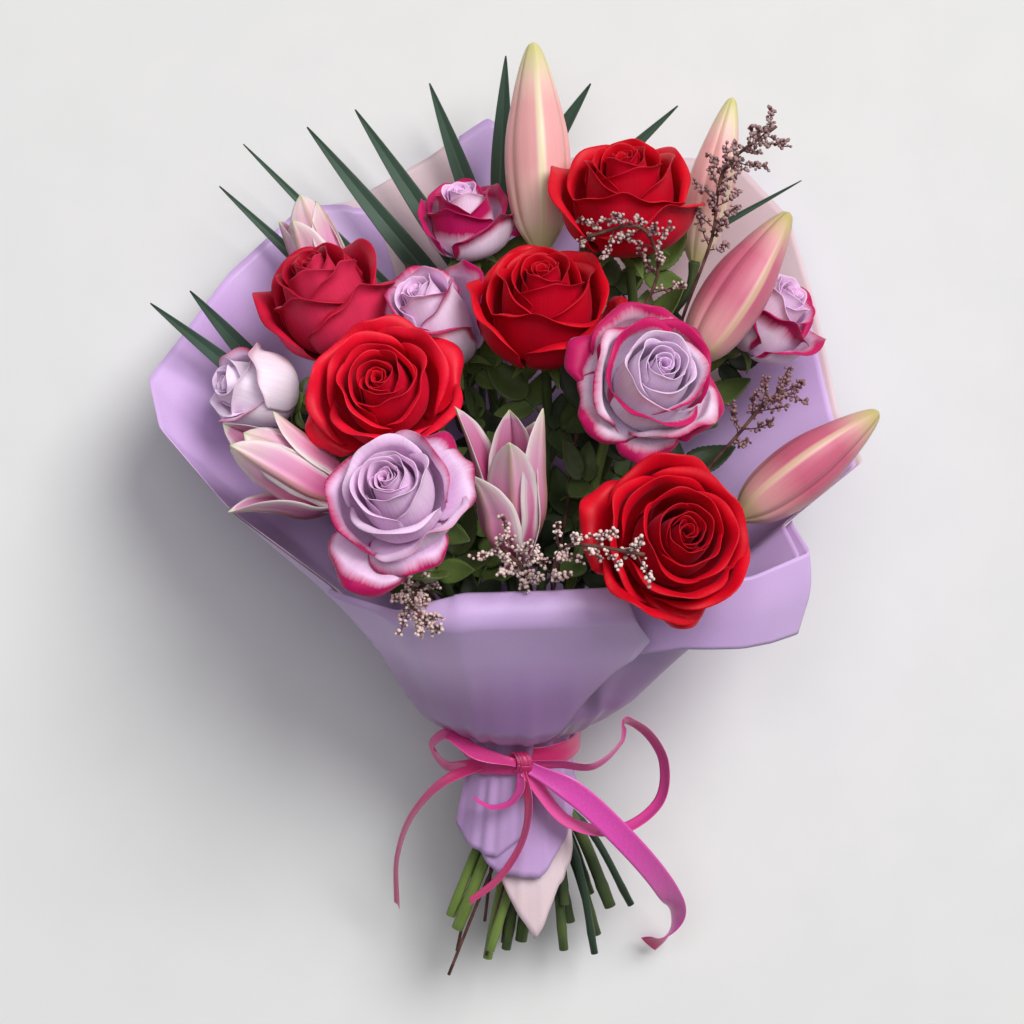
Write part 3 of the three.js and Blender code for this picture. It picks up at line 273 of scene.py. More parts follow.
# ---- Materials ----
class Look:
    """A node material, with short names for the nodes that it is made of."""

    def __init__(self, name, **sockets):
        self.material = bpy.data.materials.new(name)
        self.material.use_nodes = True
        self.nodes = self.material.node_tree.nodes
        self.links = self.material.node_tree.links
        self.shader = self.nodes["Principled BSDF"]
        for key, value in sockets.items():
            self.shader.inputs[key.replace("_", " ")].default_value = value

    def put(self, source, target):
        """A source is a node's output, a plain number or colour, or the name of a number on the points."""
        if isinstance(source, str):
            source = self.value(source)
        if isinstance(source, (int, float)):
            target.default_value = source
        elif isinstance(source, tuple):
            target.default_value = source if len(source) == 4 else (*source, 1)
        else:
            self.links.new(source, target)

    def value(self, name):
        node = self.nodes.new("ShaderNodeAttribute")
        node.attribute_name = name
        return node.outputs["Fac"]

    def place(self):
        return self.nodes.new("ShaderNodeTexCoord").outputs["Object"]

    def join(self, x, y, z=0.0):
        node = self.nodes.new("ShaderNodeCombineXYZ")
        for source, target in zip((x, y, z), node.inputs):
            self.put(source, target)
        return node.outputs[0]

    def maths(self, operation, a, b=0.0, c=0.0):
        node = self.nodes.new("ShaderNodeMath")
        node.operation = operation
        for source, target in zip((a, b, c), node.inputs):
            self.put(source, target)
        return node.outputs[0]

    def noise(self, vector, scale, detail=3.0, rough=0.5):
        node = self.nodes.new("ShaderNodeTexNoise")
        self.put(vector, node.inputs["Vector"])
        node.inputs["Scale"].default_value = scale
        node.inputs["Detail"].default_value = detail
        node.inputs["Roughness"].default_value = rough
        return node.outputs["Fac"]

    def stretched(self, scale, detail, third=0.0, **directions):
        """Noise drawn out along a surface, by how much each named number on it is multiplied."""
        scaled = [self.maths("MULTIPLY", key, by) for key, by in directions.items()]
        return self.noise(self.join(*scaled, third), scale, detail)

    def veins(self, across=26.0, along=2.2):
        """Fine lines that run along a petal."""
        return self.stretched(1.0, 2.0, "turn", across=across, along=along)

    def ramp(self, source, *stops):
        """stops are (position, value) or (position, (r, g, b)) pairs."""
        node = self.nodes.new("ShaderNodeValToRGB")
        self.put(source, node.inputs[0])
        elements = node.color_ramp.elements
        for _ in stops[2:]:
            elements.new(0.5)
        for element, (position, colour) in zip(elements, stops):
            element.position = position
            element.color = (colour,) * 3 + (1,) if isinstance(colour, (int, float)) else (*colour, 1)
        return node.outputs["Color"]

    def fade(self, source, low, high, least=0.0, most=1.0):
        """A share that goes from least to most as the source goes from low to high."""
        return self.ramp(source, (low, least), (high, most))

    def blend(self, share, a, b, mode="MIX"):
        node = self.nodes.new("ShaderNodeMix")
        node.data_type = "RGBA"
        node.blend_type = mode
        self.put(share, node.inputs["Factor"])
        for source, name in ((a, "A_Color"), (b, "B_Color")):
            self.put(source, next(i for i in node.inputs if i.identifier == name))
        return next(o for o in node.outputs if o.identifier == "Result_Color")

    def darkened(self, colour, shade):
        return self.blend(1.0, colour, shade, "MULTIPLY")

    def layered(self, base, *layers):
        """Each layer is how much of it covers what lies below, and its colour."""
        for share, colour in layers:
            base = self.blend(share, base, colour)
        return base

    def done(self, colour, height=None, distance=VEIN_DEPTH, strength=1.0):
        """The finished material, with the height raised by a distance in metres."""
        self.put(colour, self.shader.inputs["Base Color"])
        if height is not None:
            node = self.nodes.new("ShaderNodeBump")
            node.inputs["Strength"].default_value = strength
            node.inputs["Distance"].default_value = distance
            self.put(height, node.inputs["Height"])
            self.put(node.outputs[0], self.shader.inputs["Normal"])
        return self.material


def rgb(red, green, blue):
    """A colour from its 0 to 255 screen values."""
    screen = np.array([red, green, blue]) / 255
    linear = np.where(screen <= 0.04045, screen / 12.92, ((screen + 0.055) / 1.055) ** 2.4)
    return tuple(float(x) for x in linear)


def petal_material(name, heart, face, back, edge, sheen_tint):
    """heart to face is the inner side from the middle of the bloom outwards. edge colours the rim, and
    comes further in where blush is high."""
    look = Look(
        name, Roughness=0.52, Specular_IOR_Level=0.28, Sheen_Weight=0.22, Sheen_Roughness=0.38,
        Sheen_Tint=(*sheen_tint, 1), Subsurface_Weight=0.12, Subsurface_Radius=(0.9, 0.35, 0.4),
        Subsurface_Scale=0.003,
    )
    lines = look.veins()
    cloud = look.noise(look.place(), 55.0, 2.0)
    inner = look.blend(look.fade("place", 0.0, 0.6), heart, face)
    outer = look.blend(look.fade("place", 0.1, 0.75), face, back)
    base = look.blend("side", inner, outer)
    ragged = look.maths("MULTIPLY_ADD", cloud, 0.22, "rim")
    ragged = look.maths("MULTIPLY_ADD", lines, 0.07, ragged)
    wide = look.maths("MULTIPLY_ADD", "blush", -0.14, EDGE_START)
    mask = look.maths("DIVIDE", look.maths("SUBTRACT", ragged, wide), EDGE_SOFTNESS)
    mask = look.maths("MULTIPLY", look.fade(mask, 0.0, 1.0), look.fade("blush", 0.1, 0.7))
    base = look.blend(mask, base, edge)
    base = look.darkened(base, look.fade(lines, 0.3, 0.7, 0.91))
    # Painted shade: darker towards each petal's foot, inside the bloom.
    base = look.darkened(base, look.fade("along", 0.0, 0.45, 0.5))
    return look.done(base, lines, strength=0.5)


def red_material(name, heart, face, back):
    """A velvety petal of one colour, mottled and darker along fine veins, with painted shade towards each
    petal's foot, inside the bloom's folds.
    """
    look = Look(
        name, Roughness=0.5, Specular_IOR_Level=0.25, Sheen_Weight=0.2, Sheen_Roughness=0.35,
        Sheen_Tint=(1.0, 0.1, 0.2, 1), Subsurface_Weight=0.08, Subsurface_Radius=(1.0, 0.1, 0.1),
        Subsurface_Scale=0.003,
    )
    lines = look.veins()
    cloud = look.noise(look.place(), 70.0, 2.0)
    inner = look.blend(look.fade("place", 0.0, 0.75), heart, face)
    base = look.blend("side", inner, back)
    base = look.darkened(base, look.fade(cloud, 0.3, 0.7, 0.85))
    base = look.darkened(base, look.fade(lines, 0.3, 0.7, 0.9))
    # Painted shade: darker towards each petal's foot, inside the bloom.
    base = look.darkened(base, look.fade("along", 0.0, 0.5, 0.4))
    return look.done(base, lines, strength=0.45)


def bud_material(name, flank, pale, green, dark):
    """A waxy lily bud: rib runs from 0 on a flank to 1 on a petal's middle rib, seam marks the joins."""
    look = Look(
        name, Roughness=0.36, Specular_IOR_Level=0.45, Subsurface_Weight=0.15,
        Subsurface_Radius=(0.9, 0.5, 0.4), Subsurface_Scale=0.004,
    )
    lines = look.veins(20.0, 1.6)
    base = look.layered(
        pale,
        (look.fade("along", 0.05, 0.4), flank),
        (look.fade("along", 0.68, 0.92), pale),
        (look.fade("rib", 0.35, 0.85), pale),
        (look.fade("rib", 0.7, 1.0, 0.0, 0.45), green),
        (look.fade("along", 0.8, 0.97, 0.0, 0.85), green),
        (look.fade("seam", 0.5, 1.0, 0.0, 0.55), dark),
        (look.fade("along", 0.0, 0.14, 0.8, 0.0), green),
    )
    base = look.darkened(base, look.fade(lines, 0.3, 0.7, 0.88))
    return look.done(base, lines, strength=0.35)


def lily_material():
    """An opening lily's petal: pale rim, pink middle, deeper inside, with a brownish green rib outside."""
    look = Look(
        "lily_petal", Roughness=0.4, Specular_IOR_Level=0.4, Subsurface_Weight=0.15,
        Subsurface_Radius=(0.9, 0.5, 0.5), Subsurface_Scale=0.004,
    )
    lines = look.veins(18.0, 1.6)
    inside = look.ramp(
        "along", (0.1, rgb(120, 16, 62)), (0.55, rgb(190, 70, 126)), (0.9, rgb(226, 156, 192))
    )
    outside = look.ramp(
        "along", (0.08, rgb(150, 44, 92)), (0.35, rgb(218, 98, 152)), (0.65, rgb(242, 172, 208)),
        (0.95, rgb(248, 224, 220)),
    )
    rim = look.maths("MULTIPLY_ADD", lines, 0.2, "rim")
    rib = look.maths("MULTIPLY", look.fade("middle", 0.86, 0.96, 0.0, 0.55), "side")
    within = look.maths("SUBTRACT", 1.0, "side")
    crease = look.maths("MULTIPLY", look.fade("middle", 0.86, 0.97, 0.0, 0.6), within)
    base = look.layered(
        look.blend("side", inside, outside),
        (look.fade(rim, 0.72, 0.98), rgb(243, 226, 228)),
        (rib, rgb(172, 140, 92)),
        (crease, rgb(150, 60, 100)),
        (look.fade("along", 0.93, 1.0, 0.0, 0.6), rgb(196, 205, 120)),
    )
    base = look.darkened(base, look.fade(lines, 0.3, 0.7, 0.9))
    return look.done(base, lines, strength=0.35)


def green_material(name, light, dark):
    """Stems, hips and leaves: green with streaks, and a pale pith where a stem is cut."""
    look = Look(name, Roughness=0.5, Specular_IOR_Level=0.35)
    lines = look.stretched(3.0, 3.0, across=5.0, along=3.0)
    cloud = look.noise(look.place(), 38.0, 3.0)
    share = look.maths("MULTIPLY_ADD", cloud, 0.8, "tone")
    base = look.blend(look.fade(share, 0.3, 1.2), dark, light)
    base = look.darkened(base, look.fade(lines, 0.3, 0.7, 0.72))
    base = look.blend("cut", base, rgb(166, 164, 112))
    return look.done(base, lines, 0.0003, 0.6)


def palm_material():
    """A dark ribbed leaflet, greener at its foot and dry at its tip."""
    look = Look(
        "palm_leaf", Roughness=0.42, Specular_IOR_Level=0.4, Sheen_Weight=0.1, Sheen_Tint=(0.7, 0.9, 0.8, 1)
    )
    lines = look.stretched(2.0, 3.0, across=9.0, along=0.8)
    base = look.layered(
        rgb(40, 58, 38),
        (look.fade("along", 0.05, 0.7), rgb(72, 98, 82)),
        (look.fade(lines, 0.35, 0.7, 0.0, 0.5), rgb(40, 62, 52)),
        (look.fade("along", 0.94, 1.0, 0.0, 0.8), rgb(40, 40, 34)),
        (look.fade("middle", 0.9, 1.0, 0.0, 0.35), rgb(96, 122, 92)),
    )
    return look.done(base, lines, 0.00025, 0.8)


def spray_material():
    """Wiry brown stems, and flowers that are pale pink on top and maroon below."""
    look = Look("filler_spray", Roughness=0.6, Specular_IOR_Level=0.3)
    cloud = look.noise(look.place(), 160.0, 2.0)
    mottled = look.fade(cloud, 0.35, 0.65)
    stalk = look.blend(mottled, rgb(74, 44, 44), rgb(112, 78, 66))
    top = look.blend(mottled, rgb(222, 186, 184), rgb(250, 232, 224))
    # A low tone darkens the flowers' tops; for spray_right this is painted shade.
    top = look.blend("tone", rgb(128, 84, 90), top)
    bead = look.blend(look.fade("along", 0.25, 0.6), rgb(116, 72, 78), top)
    return look.done(look.blend("flower", stalk, bead), cloud, 0.0003, 0.5)


def paper_material():
    """Smooth waterproof paper, lavender, with a pale pink reverse where pink is 1."""
    look = Look(
        "wrap_paper", Roughness=0.36, Specular_IOR_Level=0.4, Sheen_Weight=0.08, Sheen_Roughness=0.5,
        Sheen_Tint=(0.95, 0.9, 1.0, 1),
    )
    fine = look.noise(look.place(), 900.0, 2.0)
    mottled = look.fade(look.noise(look.place(), 14.0, 2.0), 0.35, 0.65)
    lavender = look.blend(mottled, rgb(216, 182, 238), rgb(228, 196, 248))
    pink = look.blend(mottled, rgb(234, 208, 214), rgb(242, 222, 227))
    base = look.blend("pink", lavender, pink)
    # Painted shade: darker where the right and front sheets come near the tie, and left off the front
    # sheet's roll, which is painted lighter so.
    base = look.blend("deep", base, look.darkened(base, (0.5, 0.38, 0.49)))
    # Painted shadows of leaves, seen through the right sheet, as soft dark spots.
    base = look.blend(look.maths("MULTIPLY", "damp", 0.7), base, rgb(84, 54, 94))
    base = look.darkened(base, look.fade(fine, 0.3, 0.7, 0.965))
    return look.done(base, fine, 0.0001, 0.25)


def satin_material():
    """Pink satin ribbon: fine threads across it and a firm narrow gloss."""
    look = Look(
        "satin_ribbon", Roughness=0.3, Specular_IOR_Level=0.55, Sheen_Weight=0.35, Sheen_Roughness=0.25,
        Sheen_Tint=(1.0, 0.45, 0.85, 1),
    )
    threads = look.stretched(1.0, 1.0, along=260.0, across=3.0)
    # Painted light: tone makes lit strips a lighter magenta and shaded ones redder.
    base = look.layered(
        look.blend("tone", rgb(226, 66, 124), rgb(240, 92, 196)),
        ("side", rgb(206, 52, 110)),
        (look.fade(threads, 0.3, 0.7, 0.0, 0.35), rgb(196, 36, 118)),
        (look.fade(look.maths("ABSOLUTE", "across"), 0.9, 0.97, 0.0, 0.4), rgb(240, 110, 180)),
    )
    return look.done(base, threads, 0.00015, 0.5)


def twine_material():
    """Brown fibres that run round the twine."""
    look = Look("twine_fibre", Roughness=0.85, Specular_IOR_Level=0.2)
    fibres = look.stretched(2.0, 3.0, along=90.0, across=4.0)
    base = look.blend(look.fade(fibres, 0.3, 0.7), rgb(120, 92, 58), rgb(186, 156, 112))
    return look.done(base, fibres, 0.0005, 0.8)


RED = red_material("petal_red", rgb(204, 0, 26), rgb(228, 2, 34), rgb(208, 4, 40))
# A lighter, slightly pinker copy of the red petal for red_left: painted light, standing in for light falling
# on that rose.
RED_PAINTED_LIT = red_material("petal_red_painted_lit", rgb(232, 16, 44), rgb(248, 20, 54), rgb(240, 18, 60))
CRIMSON = red_material("petal_crimson", rgb(176, 6, 40), rgb(204, 14, 56), rgb(226, 48, 90))
LILAC = petal_material(
    "petal_lilac", rgb(244, 192, 236), rgb(248, 210, 246), rgb(250, 222, 248), rgb(190, 14, 94),
    (0.95, 0.85, 1.0),
)
# A lighter copy of the lilac petal for lilac_right and lilac_left: painted light, standing in for light
# falling on these roses.
LILAC_PAINTED_LIT = petal_material(
    "petal_lilac_painted_lit", rgb(244, 202, 248), rgb(255, 230, 255), rgb(255, 238, 255), rgb(200, 16, 98),
    (0.95, 0.88, 1.0),
)
BUD_PALE = bud_material(
    "lily_bud_pale", rgb(244, 178, 178), rgb(246, 224, 202), rgb(212, 210, 130), rgb(206, 160, 120)
)
BUD_DEEP = bud_material(
    "lily_bud_deep", rgb(210, 104, 132), rgb(232, 182, 174), rgb(196, 186, 110), rgb(140, 66, 84)
)
LILY = lily_material()
STEM = green_material("stem_green", rgb(122, 146, 72), rgb(50, 64, 42))
PALM = palm_material()
SPRAY = spray_material()
PAPER = paper_material()
SATIN = satin_material()
TWINE = twine_material()


# ---- Stems, recovered from the rings of corners of the CAD solids ----
def stem_rings(node, sides, radius, arm_radius=None):
    """The middles of a solid stem's rings from its cut end on, and those of each of its arms."""
    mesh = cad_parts[node].data
    corners = np.array([v.co for v in mesh.vertices]) / MM
    spots, place = np.unique(np.round(corners, 2), axis=0, return_inverse=True)
    place = place.ravel()
    owner = list(range(len(spots)))

    def root(i):
        while owner[i] != i:
            i = owner[i]
        return i

    edges = [(place[a], place[b]) for a, b in (edge.vertices for edge in mesh.edges)]
    near = 1.12 * 2 * radius * math.sin(math.pi / sides)
    for a, b in edges:
        if np.linalg.norm(spots[a] - spots[b]) < near:
            owner[root(a)] = root(b)
    groups = {}
    for i in range(len(spots)):
        groups.setdefault(root(i), []).append(i)
    middle = {g: spots[members].mean(0) for g, members in groups.items()}
    links = {g: set() for g in groups}
    for a, b in edges:
        if root(a) != root(b):
            links[root(a)].add(root(b))
            links[root(b)].add(root(a))
    rings = {g for g, members in groups.items() if len(members) == sides}

    def walk(start, seen):
        way = [start]
        while True:
            ahead = sorted((g for g in links[way[-1]] if g in rings and g not in seen), key=int)
            if not ahead:
                return way
            seen.add(ahead[0])
            way.append(ahead[0])

    first = min((g for g in rings if len(links[g]) == 1), key=lambda g: middle[g][1])
    seen = {first}
    trunk = walk(first, seen)
    arms = []
    if arm_radius:
        fork = next(g for g in links[trunk[-1]] if g not in seen)
        for start in sorted(g for g in links[fork] if g in rings and g not in seen):
            seen.add(start)
            arms.append([middle[fork]] + [middle[g] for g in walk(start, seen)])
    return [middle[g] for g in trunk], arms


KNOT_EVERY = 38
# how light the stems are whose cut ends are on the left and on the right
LEFT_STEM_TONE = 0.6
RIGHT_STEM_TONE = 0.05


def stem_tube(shape, points, radius, count=70, **values):
    """A living stem: its cut end squared off, and swollen a little where leaves once grew."""
    path = curve(points, count)
    start = path[0] + unit(path[1] - path[0]) * 0.25
    path = np.vstack([path[0], start, path[1:]])
    length = distances(path)
    from_knot = (length + 9) % KNOT_EVERY - KNOT_EVERY / 2
    radii = radius * (1 + 0.13 * np.exp(-(from_knot**2) / 6))
    radii[0] *= 0.93
    cut = np.zeros(len(path))
    cut[0] = 0.85
    tone = LEFT_STEM_TONE if path[0][0] < -4 else RIGHT_STEM_TONE
    shape.tube(path, radii, 14, cut=cut, tone=tone, **values)
    return path


# ---- Leaves ----
def leaf(shape, root, tip, width, face, fold, sag, widest=0.4, saw=0.0, cols=7, rows=22, **more):
    """A pointed leaf from root to tip, folded along its rib. face is the way that its upper side looks."""
    root, tip = np.asarray(root, float), np.asarray(tip, float)
    side = unit(np.cross(tip - root, face))
    up = unit(np.cross(side, tip - root))
    u = np.linspace(-1, 1, cols)[None, :]
    v = np.linspace(0, 1, rows)[:, None]
    power = math.log(0.5) / math.log(widest)
    half = width / 2 * (0.05 + 0.95 * np.sin(np.pi * np.clip(v, 0, 0.999) ** power) ** 0.85)
    half = half * (1 - saw * ((v * 11) % 1))
    half = half + width * 0.06 * (1 - v) ** 2
    rise = fold * half * np.abs(u) + sag * np.sin(np.pi * v)
    grid = root + (tip - root) * v[..., None] + side * (u * half)[..., None] + up * rise[..., None]
    shape.blade(grid, LEAF_THICK, along=v, across=u, middle=1 - np.abs(u), **more)


TWIGS_FROM = -52  # no leaves grow nearer to the tie than this Y


def leafy_twig(shape, root, way, face, length, rng):
    """A rose leaf: a stalk with a leaflet at its end and a pair of smaller ones below it."""
    way = unit(way)
    side = unit(np.cross(way, face))
    tip = root + way * length
    tone = rng.uniform(-0.2, 0.5)
    stalk = curve([root, root + way * length * 0.5 + face * 1.5, tip], 10)
    shape.tube(stalk, [0.8] * 4 + [0.55] * 6, 6, tone=tone)
    size = length * rng.uniform(1.7, 2.3)
    end = tip + way * size + face * rng.uniform(-4, 4)
    leaf(shape, tip, end, size * 0.58, face, 0.3, -3, saw=0.1, tone=tone)
    for sign in (-1, 1):
        base = root + way * length * 0.62
        out = unit(way * 0.5 + side * sign)
        end = base + out * size * 0.72 + face * rng.uniform(-3, 3)
        leaf(shape, base, end, size * 0.42, face, 0.3, -2, saw=0.1, tone=tone)


# ---- Roses ----
# name, middle of the bloom, lean, towards, across, how far open, outer petals, material, place from
# which its petals blush, how much, and wide petals that hang out of the bloom: compass angle, reach and
# blush
ROSES = [
    ("red_left", (-57, 53, 140), 20, 110, 67, 0.9, 6, RED_PAINTED_LIT, 1, 0, [(38, 1.12, 0), (200, 1.05, 0)]),
    ("red_centre", (15, 91, 122), 50, 92, 72, 0.85, 6, RED, 1, 0, []),
    ("red_top", (53, 143, 101), 56, 95, 71, 0.85, 6, RED, 1, 0, []),
    ("red_front", (71, -13, 180), 18, 45, 71, 1.0, 7, RED, 1, 0, [(160, 1.16, 0), (-80, 0.98, 0)]),
    ("crimson_left", (-86, 96, 90), 62, 112, 66, 0.55, 5, CRIMSON, 1, 0, [(110, 1.0, 0)]),
    ("lilac_top", (-22, 137, 62), 62, 98, 48, 0.55, 5, LILAC, 0.45, 4.2, [(15, 1.05, 4)]),
    ("lilac_centre", (-35, 86, 103), 52, 118, 59, 0.3, 4, LILAC, 0.4, 1.3, [(205, 1.2, 5)]),
    (
        "lilac_right", (62, 58, 160), 24, 55, 64, 0.85, 6, LILAC_PAINTED_LIT, 0.5, 1.7,
        [
            (150, 1.12, 2.8), (-95, 1.02, 2.0), (-20, 1.06, 2.2), (50, 1.06, 3.4), (-150, 1.02, 1.5),
            (100, 1.02, 3.4),
        ],
    ),
    (
        "lilac_front", (-50, 7, 192), 28, 118, 58, 0.85, 5, LILAC, 0.75, 1.0,
        [(-118, 1.52, 1.7), (-78, 1.12, 1.2), (25, 1.14, 0.9), (62, 1.12, 1.8)],
    ),
    ("lilac_left", (-117, 56, 92), 64, 165, 50, 0.4, 4, LILAC_PAINTED_LIT, 0.6, 1.0, []),
    ("lilac_behind", (119, 91, 78), 60, 42, 52, 0.5, 5, LILAC, 0.6, 2.6, []),
]
PETAL_COLUMNS = 29
PETAL_ROWS = 14
ROLL_ROWS = 11
# share of a petal's length from which its lip rolls back
ROLL_START = 0.8
# places of the petals between the heart, 0, and the outside, 1
HEART_PLACES = (0, 0.02, 0.045, 0.075, 0.11, 0.15, 0.195)
MIDDLE_PLACES = (0.24, 0.29, 0.345, 0.4, 0.46, 0.52, 0.585)


def cup_height(across, opened):
    return across / 2 * mix(1.75, 1.35, opened)


def bloom_foot(head, lean, towards, across, opened):
    """The axis of a bloom, and where it sits on its hip."""
    axis = leaning(lean, towards)
    return axis, np.array(head) - axis * 0.45 * cup_height(across, opened)


def petal_line(across, opened, place, along, hang=0.0):
    """Distance from the axis and height of a petal's middle line, as in the solids but tighter inside.
    hang lays the petal out flat and makes it reach that many radii out."""
    radius, height = across / 2, cup_height(across, opened)
    foot = radius * mix(0.02, 0.09, place)
    belly = radius * mix(0.08, 0.84, place**0.85)
    rim = radius * mix(0.045, mix(0.76, 0.93, opened), place**1.1)
    top = height * (1 - mix(0.1, 0.42, opened) * place**2) * (1 - 0.07 * np.exp(-((place / 0.16) ** 2)))
    if hang:
        out = bezier(foot, radius * 0.75, radius * hang * 0.8, radius * hang, along)
        return out, bezier(1, height * 0.08, height * 0.42, height * 0.3, along)
    out = bezier(foot, belly * 1.25, belly * 1.1, rim, along)
    return out, bezier(1, top * 0.12, top * 0.6, top, along)


def petal(across, opened, place, turn, rng, hang=0.0):
    """The points of one petal, in rows from its foot, v, and columns across it, u, and the numbers that
    its colour depends on."""
    height = cup_height(across, opened)
    u = np.linspace(-1, 1, PETAL_COLUMNS)[None, :]
    below = np.linspace(0, ROLL_START, PETAL_ROWS)
    v = np.concatenate([below, np.linspace(ROLL_START, 1, ROLL_ROWS)[1:]])[:, None]
    wave, lift, tone, ruffle = rng.uniform(0, 2 * np.pi, 4)
    grow = rng.uniform(0.95, 1.05)
    spiral = mix(0.07, 0.035, place)
    k = np.clip(place + spiral * u, 0, 1.06)
    half = mix(2.5, 1.02, place**0.55) * rng.uniform(0.92, 1.1)
    half = half * mix(1 - 0.4 * place, 1, smooth(v / 0.5))
    if hang:
        half = half * 0.82 * mix(1.0, 0.8, smooth((v - 0.6) / 0.4))
    angle = turn + u * half
    crown = 1 - mix(0.05, 0.3, place) * np.abs(u) ** 2.6
    along = np.minimum(v, ROLL_START) / ROLL_START * mix(0.96, 0.8, place) * crown
    r, z = petal_line(across, opened, k, along, hang)
    r2, z2 = petal_line(across, opened, k, along + 0.01, hang)
    way = unit(np.stack([r2 - r, z2 - z], -1))
    rolled = np.maximum(v - ROLL_START, 0) / (1 - ROLL_START)
    bend = mix(38, 112, smooth((k - 0.25) / 0.7)) * mix(0.62, 1.15, smooth(np.abs(u) / 0.45))
    bend = np.radians(bend * (1 - 0.6 * smooth((np.abs(u) - 0.7) / 0.3)) * rng.uniform(0.8, 1.15))
    reach = height * mix(0.07, 0.2, place) * (1 - 0.5 * u * u) * crown / bend
    forward = reach * np.sin(bend * rolled)
    outward = reach * (1 - np.cos(bend * rolled))
    out = (r + way[..., 0] * forward + way[..., 1] * outward) * grow
    up = z + way[..., 1] * forward - way[..., 0] * outward
    outward_wave = np.sin(4.2 * u + wave) + 0.4 * np.sin(11 * u + ruffle)
    upward_wave = np.sin(3.1 * u + lift) + 0.35 * np.sin(13 * u + tone)
    out = out + across * 0.016 * v**3 * (0.3 + place) * outward_wave
    up = up + height * 0.02 * v**2 * (0.3 + place) * upward_wave
    up = up + height * mix(0.005, 0.04, place) * v**4 * np.exp(-((u / 0.2) ** 2))
    grid = np.stack([out * np.cos(angle), out * np.sin(angle), up], -1)
    tilt = Matrix.Rotation(math.radians(rng.uniform(-3, 3)) * place, 3, "X")
    grid = grid @ np.array(tilt).T
    rim = np.maximum(v, smooth((np.abs(u) - 0.5) / 0.5) * np.minimum(1, 1.5 * v))
    return grid, {"place": k, "along": v, "across": u, "rim": rim, "turn": tone * 3}


def rose(name, head, lean, towards, across, opened, outer, material, blush_from, blush_most, hanging):
    """A bloom of petals that spiral round its heart."""
    rng = seeded(name)
    axis, foot = bloom_foot(head, lean, towards, across, opened)
    places = [*HEART_PLACES, *MIDDLE_PLACES, *np.linspace(0.66, 1, outer)]
    petals = []
    for i, place in enumerate(places):
        blush = blush_most * float(smooth((place - blush_from + 0.12) / 0.24)) * rng.uniform(0.45, 1)
        petals.append((place, i * GOLDEN_ANGLE + rng.uniform(-0.2, 0.2), 0.0, blush))
    petals += [(1.0, math.radians(angle), reach, blush) for angle, reach, blush in hanging]
    shape = Shape()
    for place, turn, hang, blush in petals:
        grid, numbers = petal(across, opened, place, turn, rng, hang)
        thick = PETAL_THICK * mix(1.5, 0.6, numbers["along"])
        shape.blade(placed(grid, foot, axis), thick, blush=blush, **numbers)
    slot = "petal_lilac" if material is LILAC else "petal_red"
    shape.piece(name, material, slot, "rose_" + name)


SEPALS = 5
# height from the bloom's foot, and radius
HIP = np.array([(-11, 2.2), (-9, 2.9), (-6.5, 4.6), (-4, 5.3), (-2.2, 5.2), (-0.9, 5.2), (-0.3, 4)])
TWIGS = 9
TWIG_EVERY = 12
TWIG_STALK = 13


def rose_stem(name, head, lean, towards, across, opened):
    """A rose's stem with its hip, its turned-down sepals and leaves below the bloom."""
    rng = seeded(name, STEM_SEED)
    axis, foot = bloom_foot(head, lean, towards, across, opened)
    rings, _ = stem_rings("stem_" + name, STEM_SIDES, ROSE_STEM_RADIUS)
    rings = [p for p in rings if np.linalg.norm(p - foot) > 13]
    shape = Shape()
    path = stem_tube(shape, [*rings, foot - axis * 10], ROSE_STEM_RADIUS)
    shape.tube(foot + axis * HIP[:, :1], HIP[:, 1], 16, tone=0.5)
    reach = across * 0.27
    for n in range(SEPALS):
        angle = n * 2 * np.pi / SEPALS
        out = sideways(angle, axis)
        base = foot - axis * 1.6 + out * 4.6
        tip = foot + out * reach * rng.uniform(0.95, 1.1) - axis * rng.uniform(5, 9)
        leaf(shape, base, tip, 5.2, axis, 0.35, 2.0, 0.3, cols=5, rows=12, tone=0.6)
    length = distances(path)
    for n in range(TWIGS):
        at = length[-1] - 15 - TWIG_EVERY * n
        i = int(np.searchsorted(length, at))
        if path[i][1] < TWIGS_FROM:
            break
        way = unit(path[min(i + 1, len(path) - 1)] - path[i - 1])
        angle = n * GOLDEN_ANGLE + rng.uniform(0, 0.6)
        out = sideways(angle, way)
        leafy_twig(shape, path[i] + out * 1.5, out + way * 0.9, unit(way + (0, 0, 1.2)), TWIG_STALK, rng)
    shape.piece("stem_of_" + name, STEM, "stem_green", "stem_" + name)


for bloom in ROSES:
    rose(*bloom)
    rose_stem(*bloom[:6])


# ---- Lilies ----
# name, foot, tip, girth, spin, material
LILY_BUDS = [
    ("lily_bud_top", (14, 124, 72), (10, 222, 70), 31, 6, BUD_PALE),
    ("lily_bud_far", (87, 119, 62), (105, 197, 62), 22, 40, BUD_PALE),
    ("lily_bud_right", (83, 69, 120), (127, 137, 116), 29, 24, BUD_DEEP),
    ("lily_bud_low", (104, -2, 118), (168, 46, 114), 28, -20, BUD_DEEP),
]
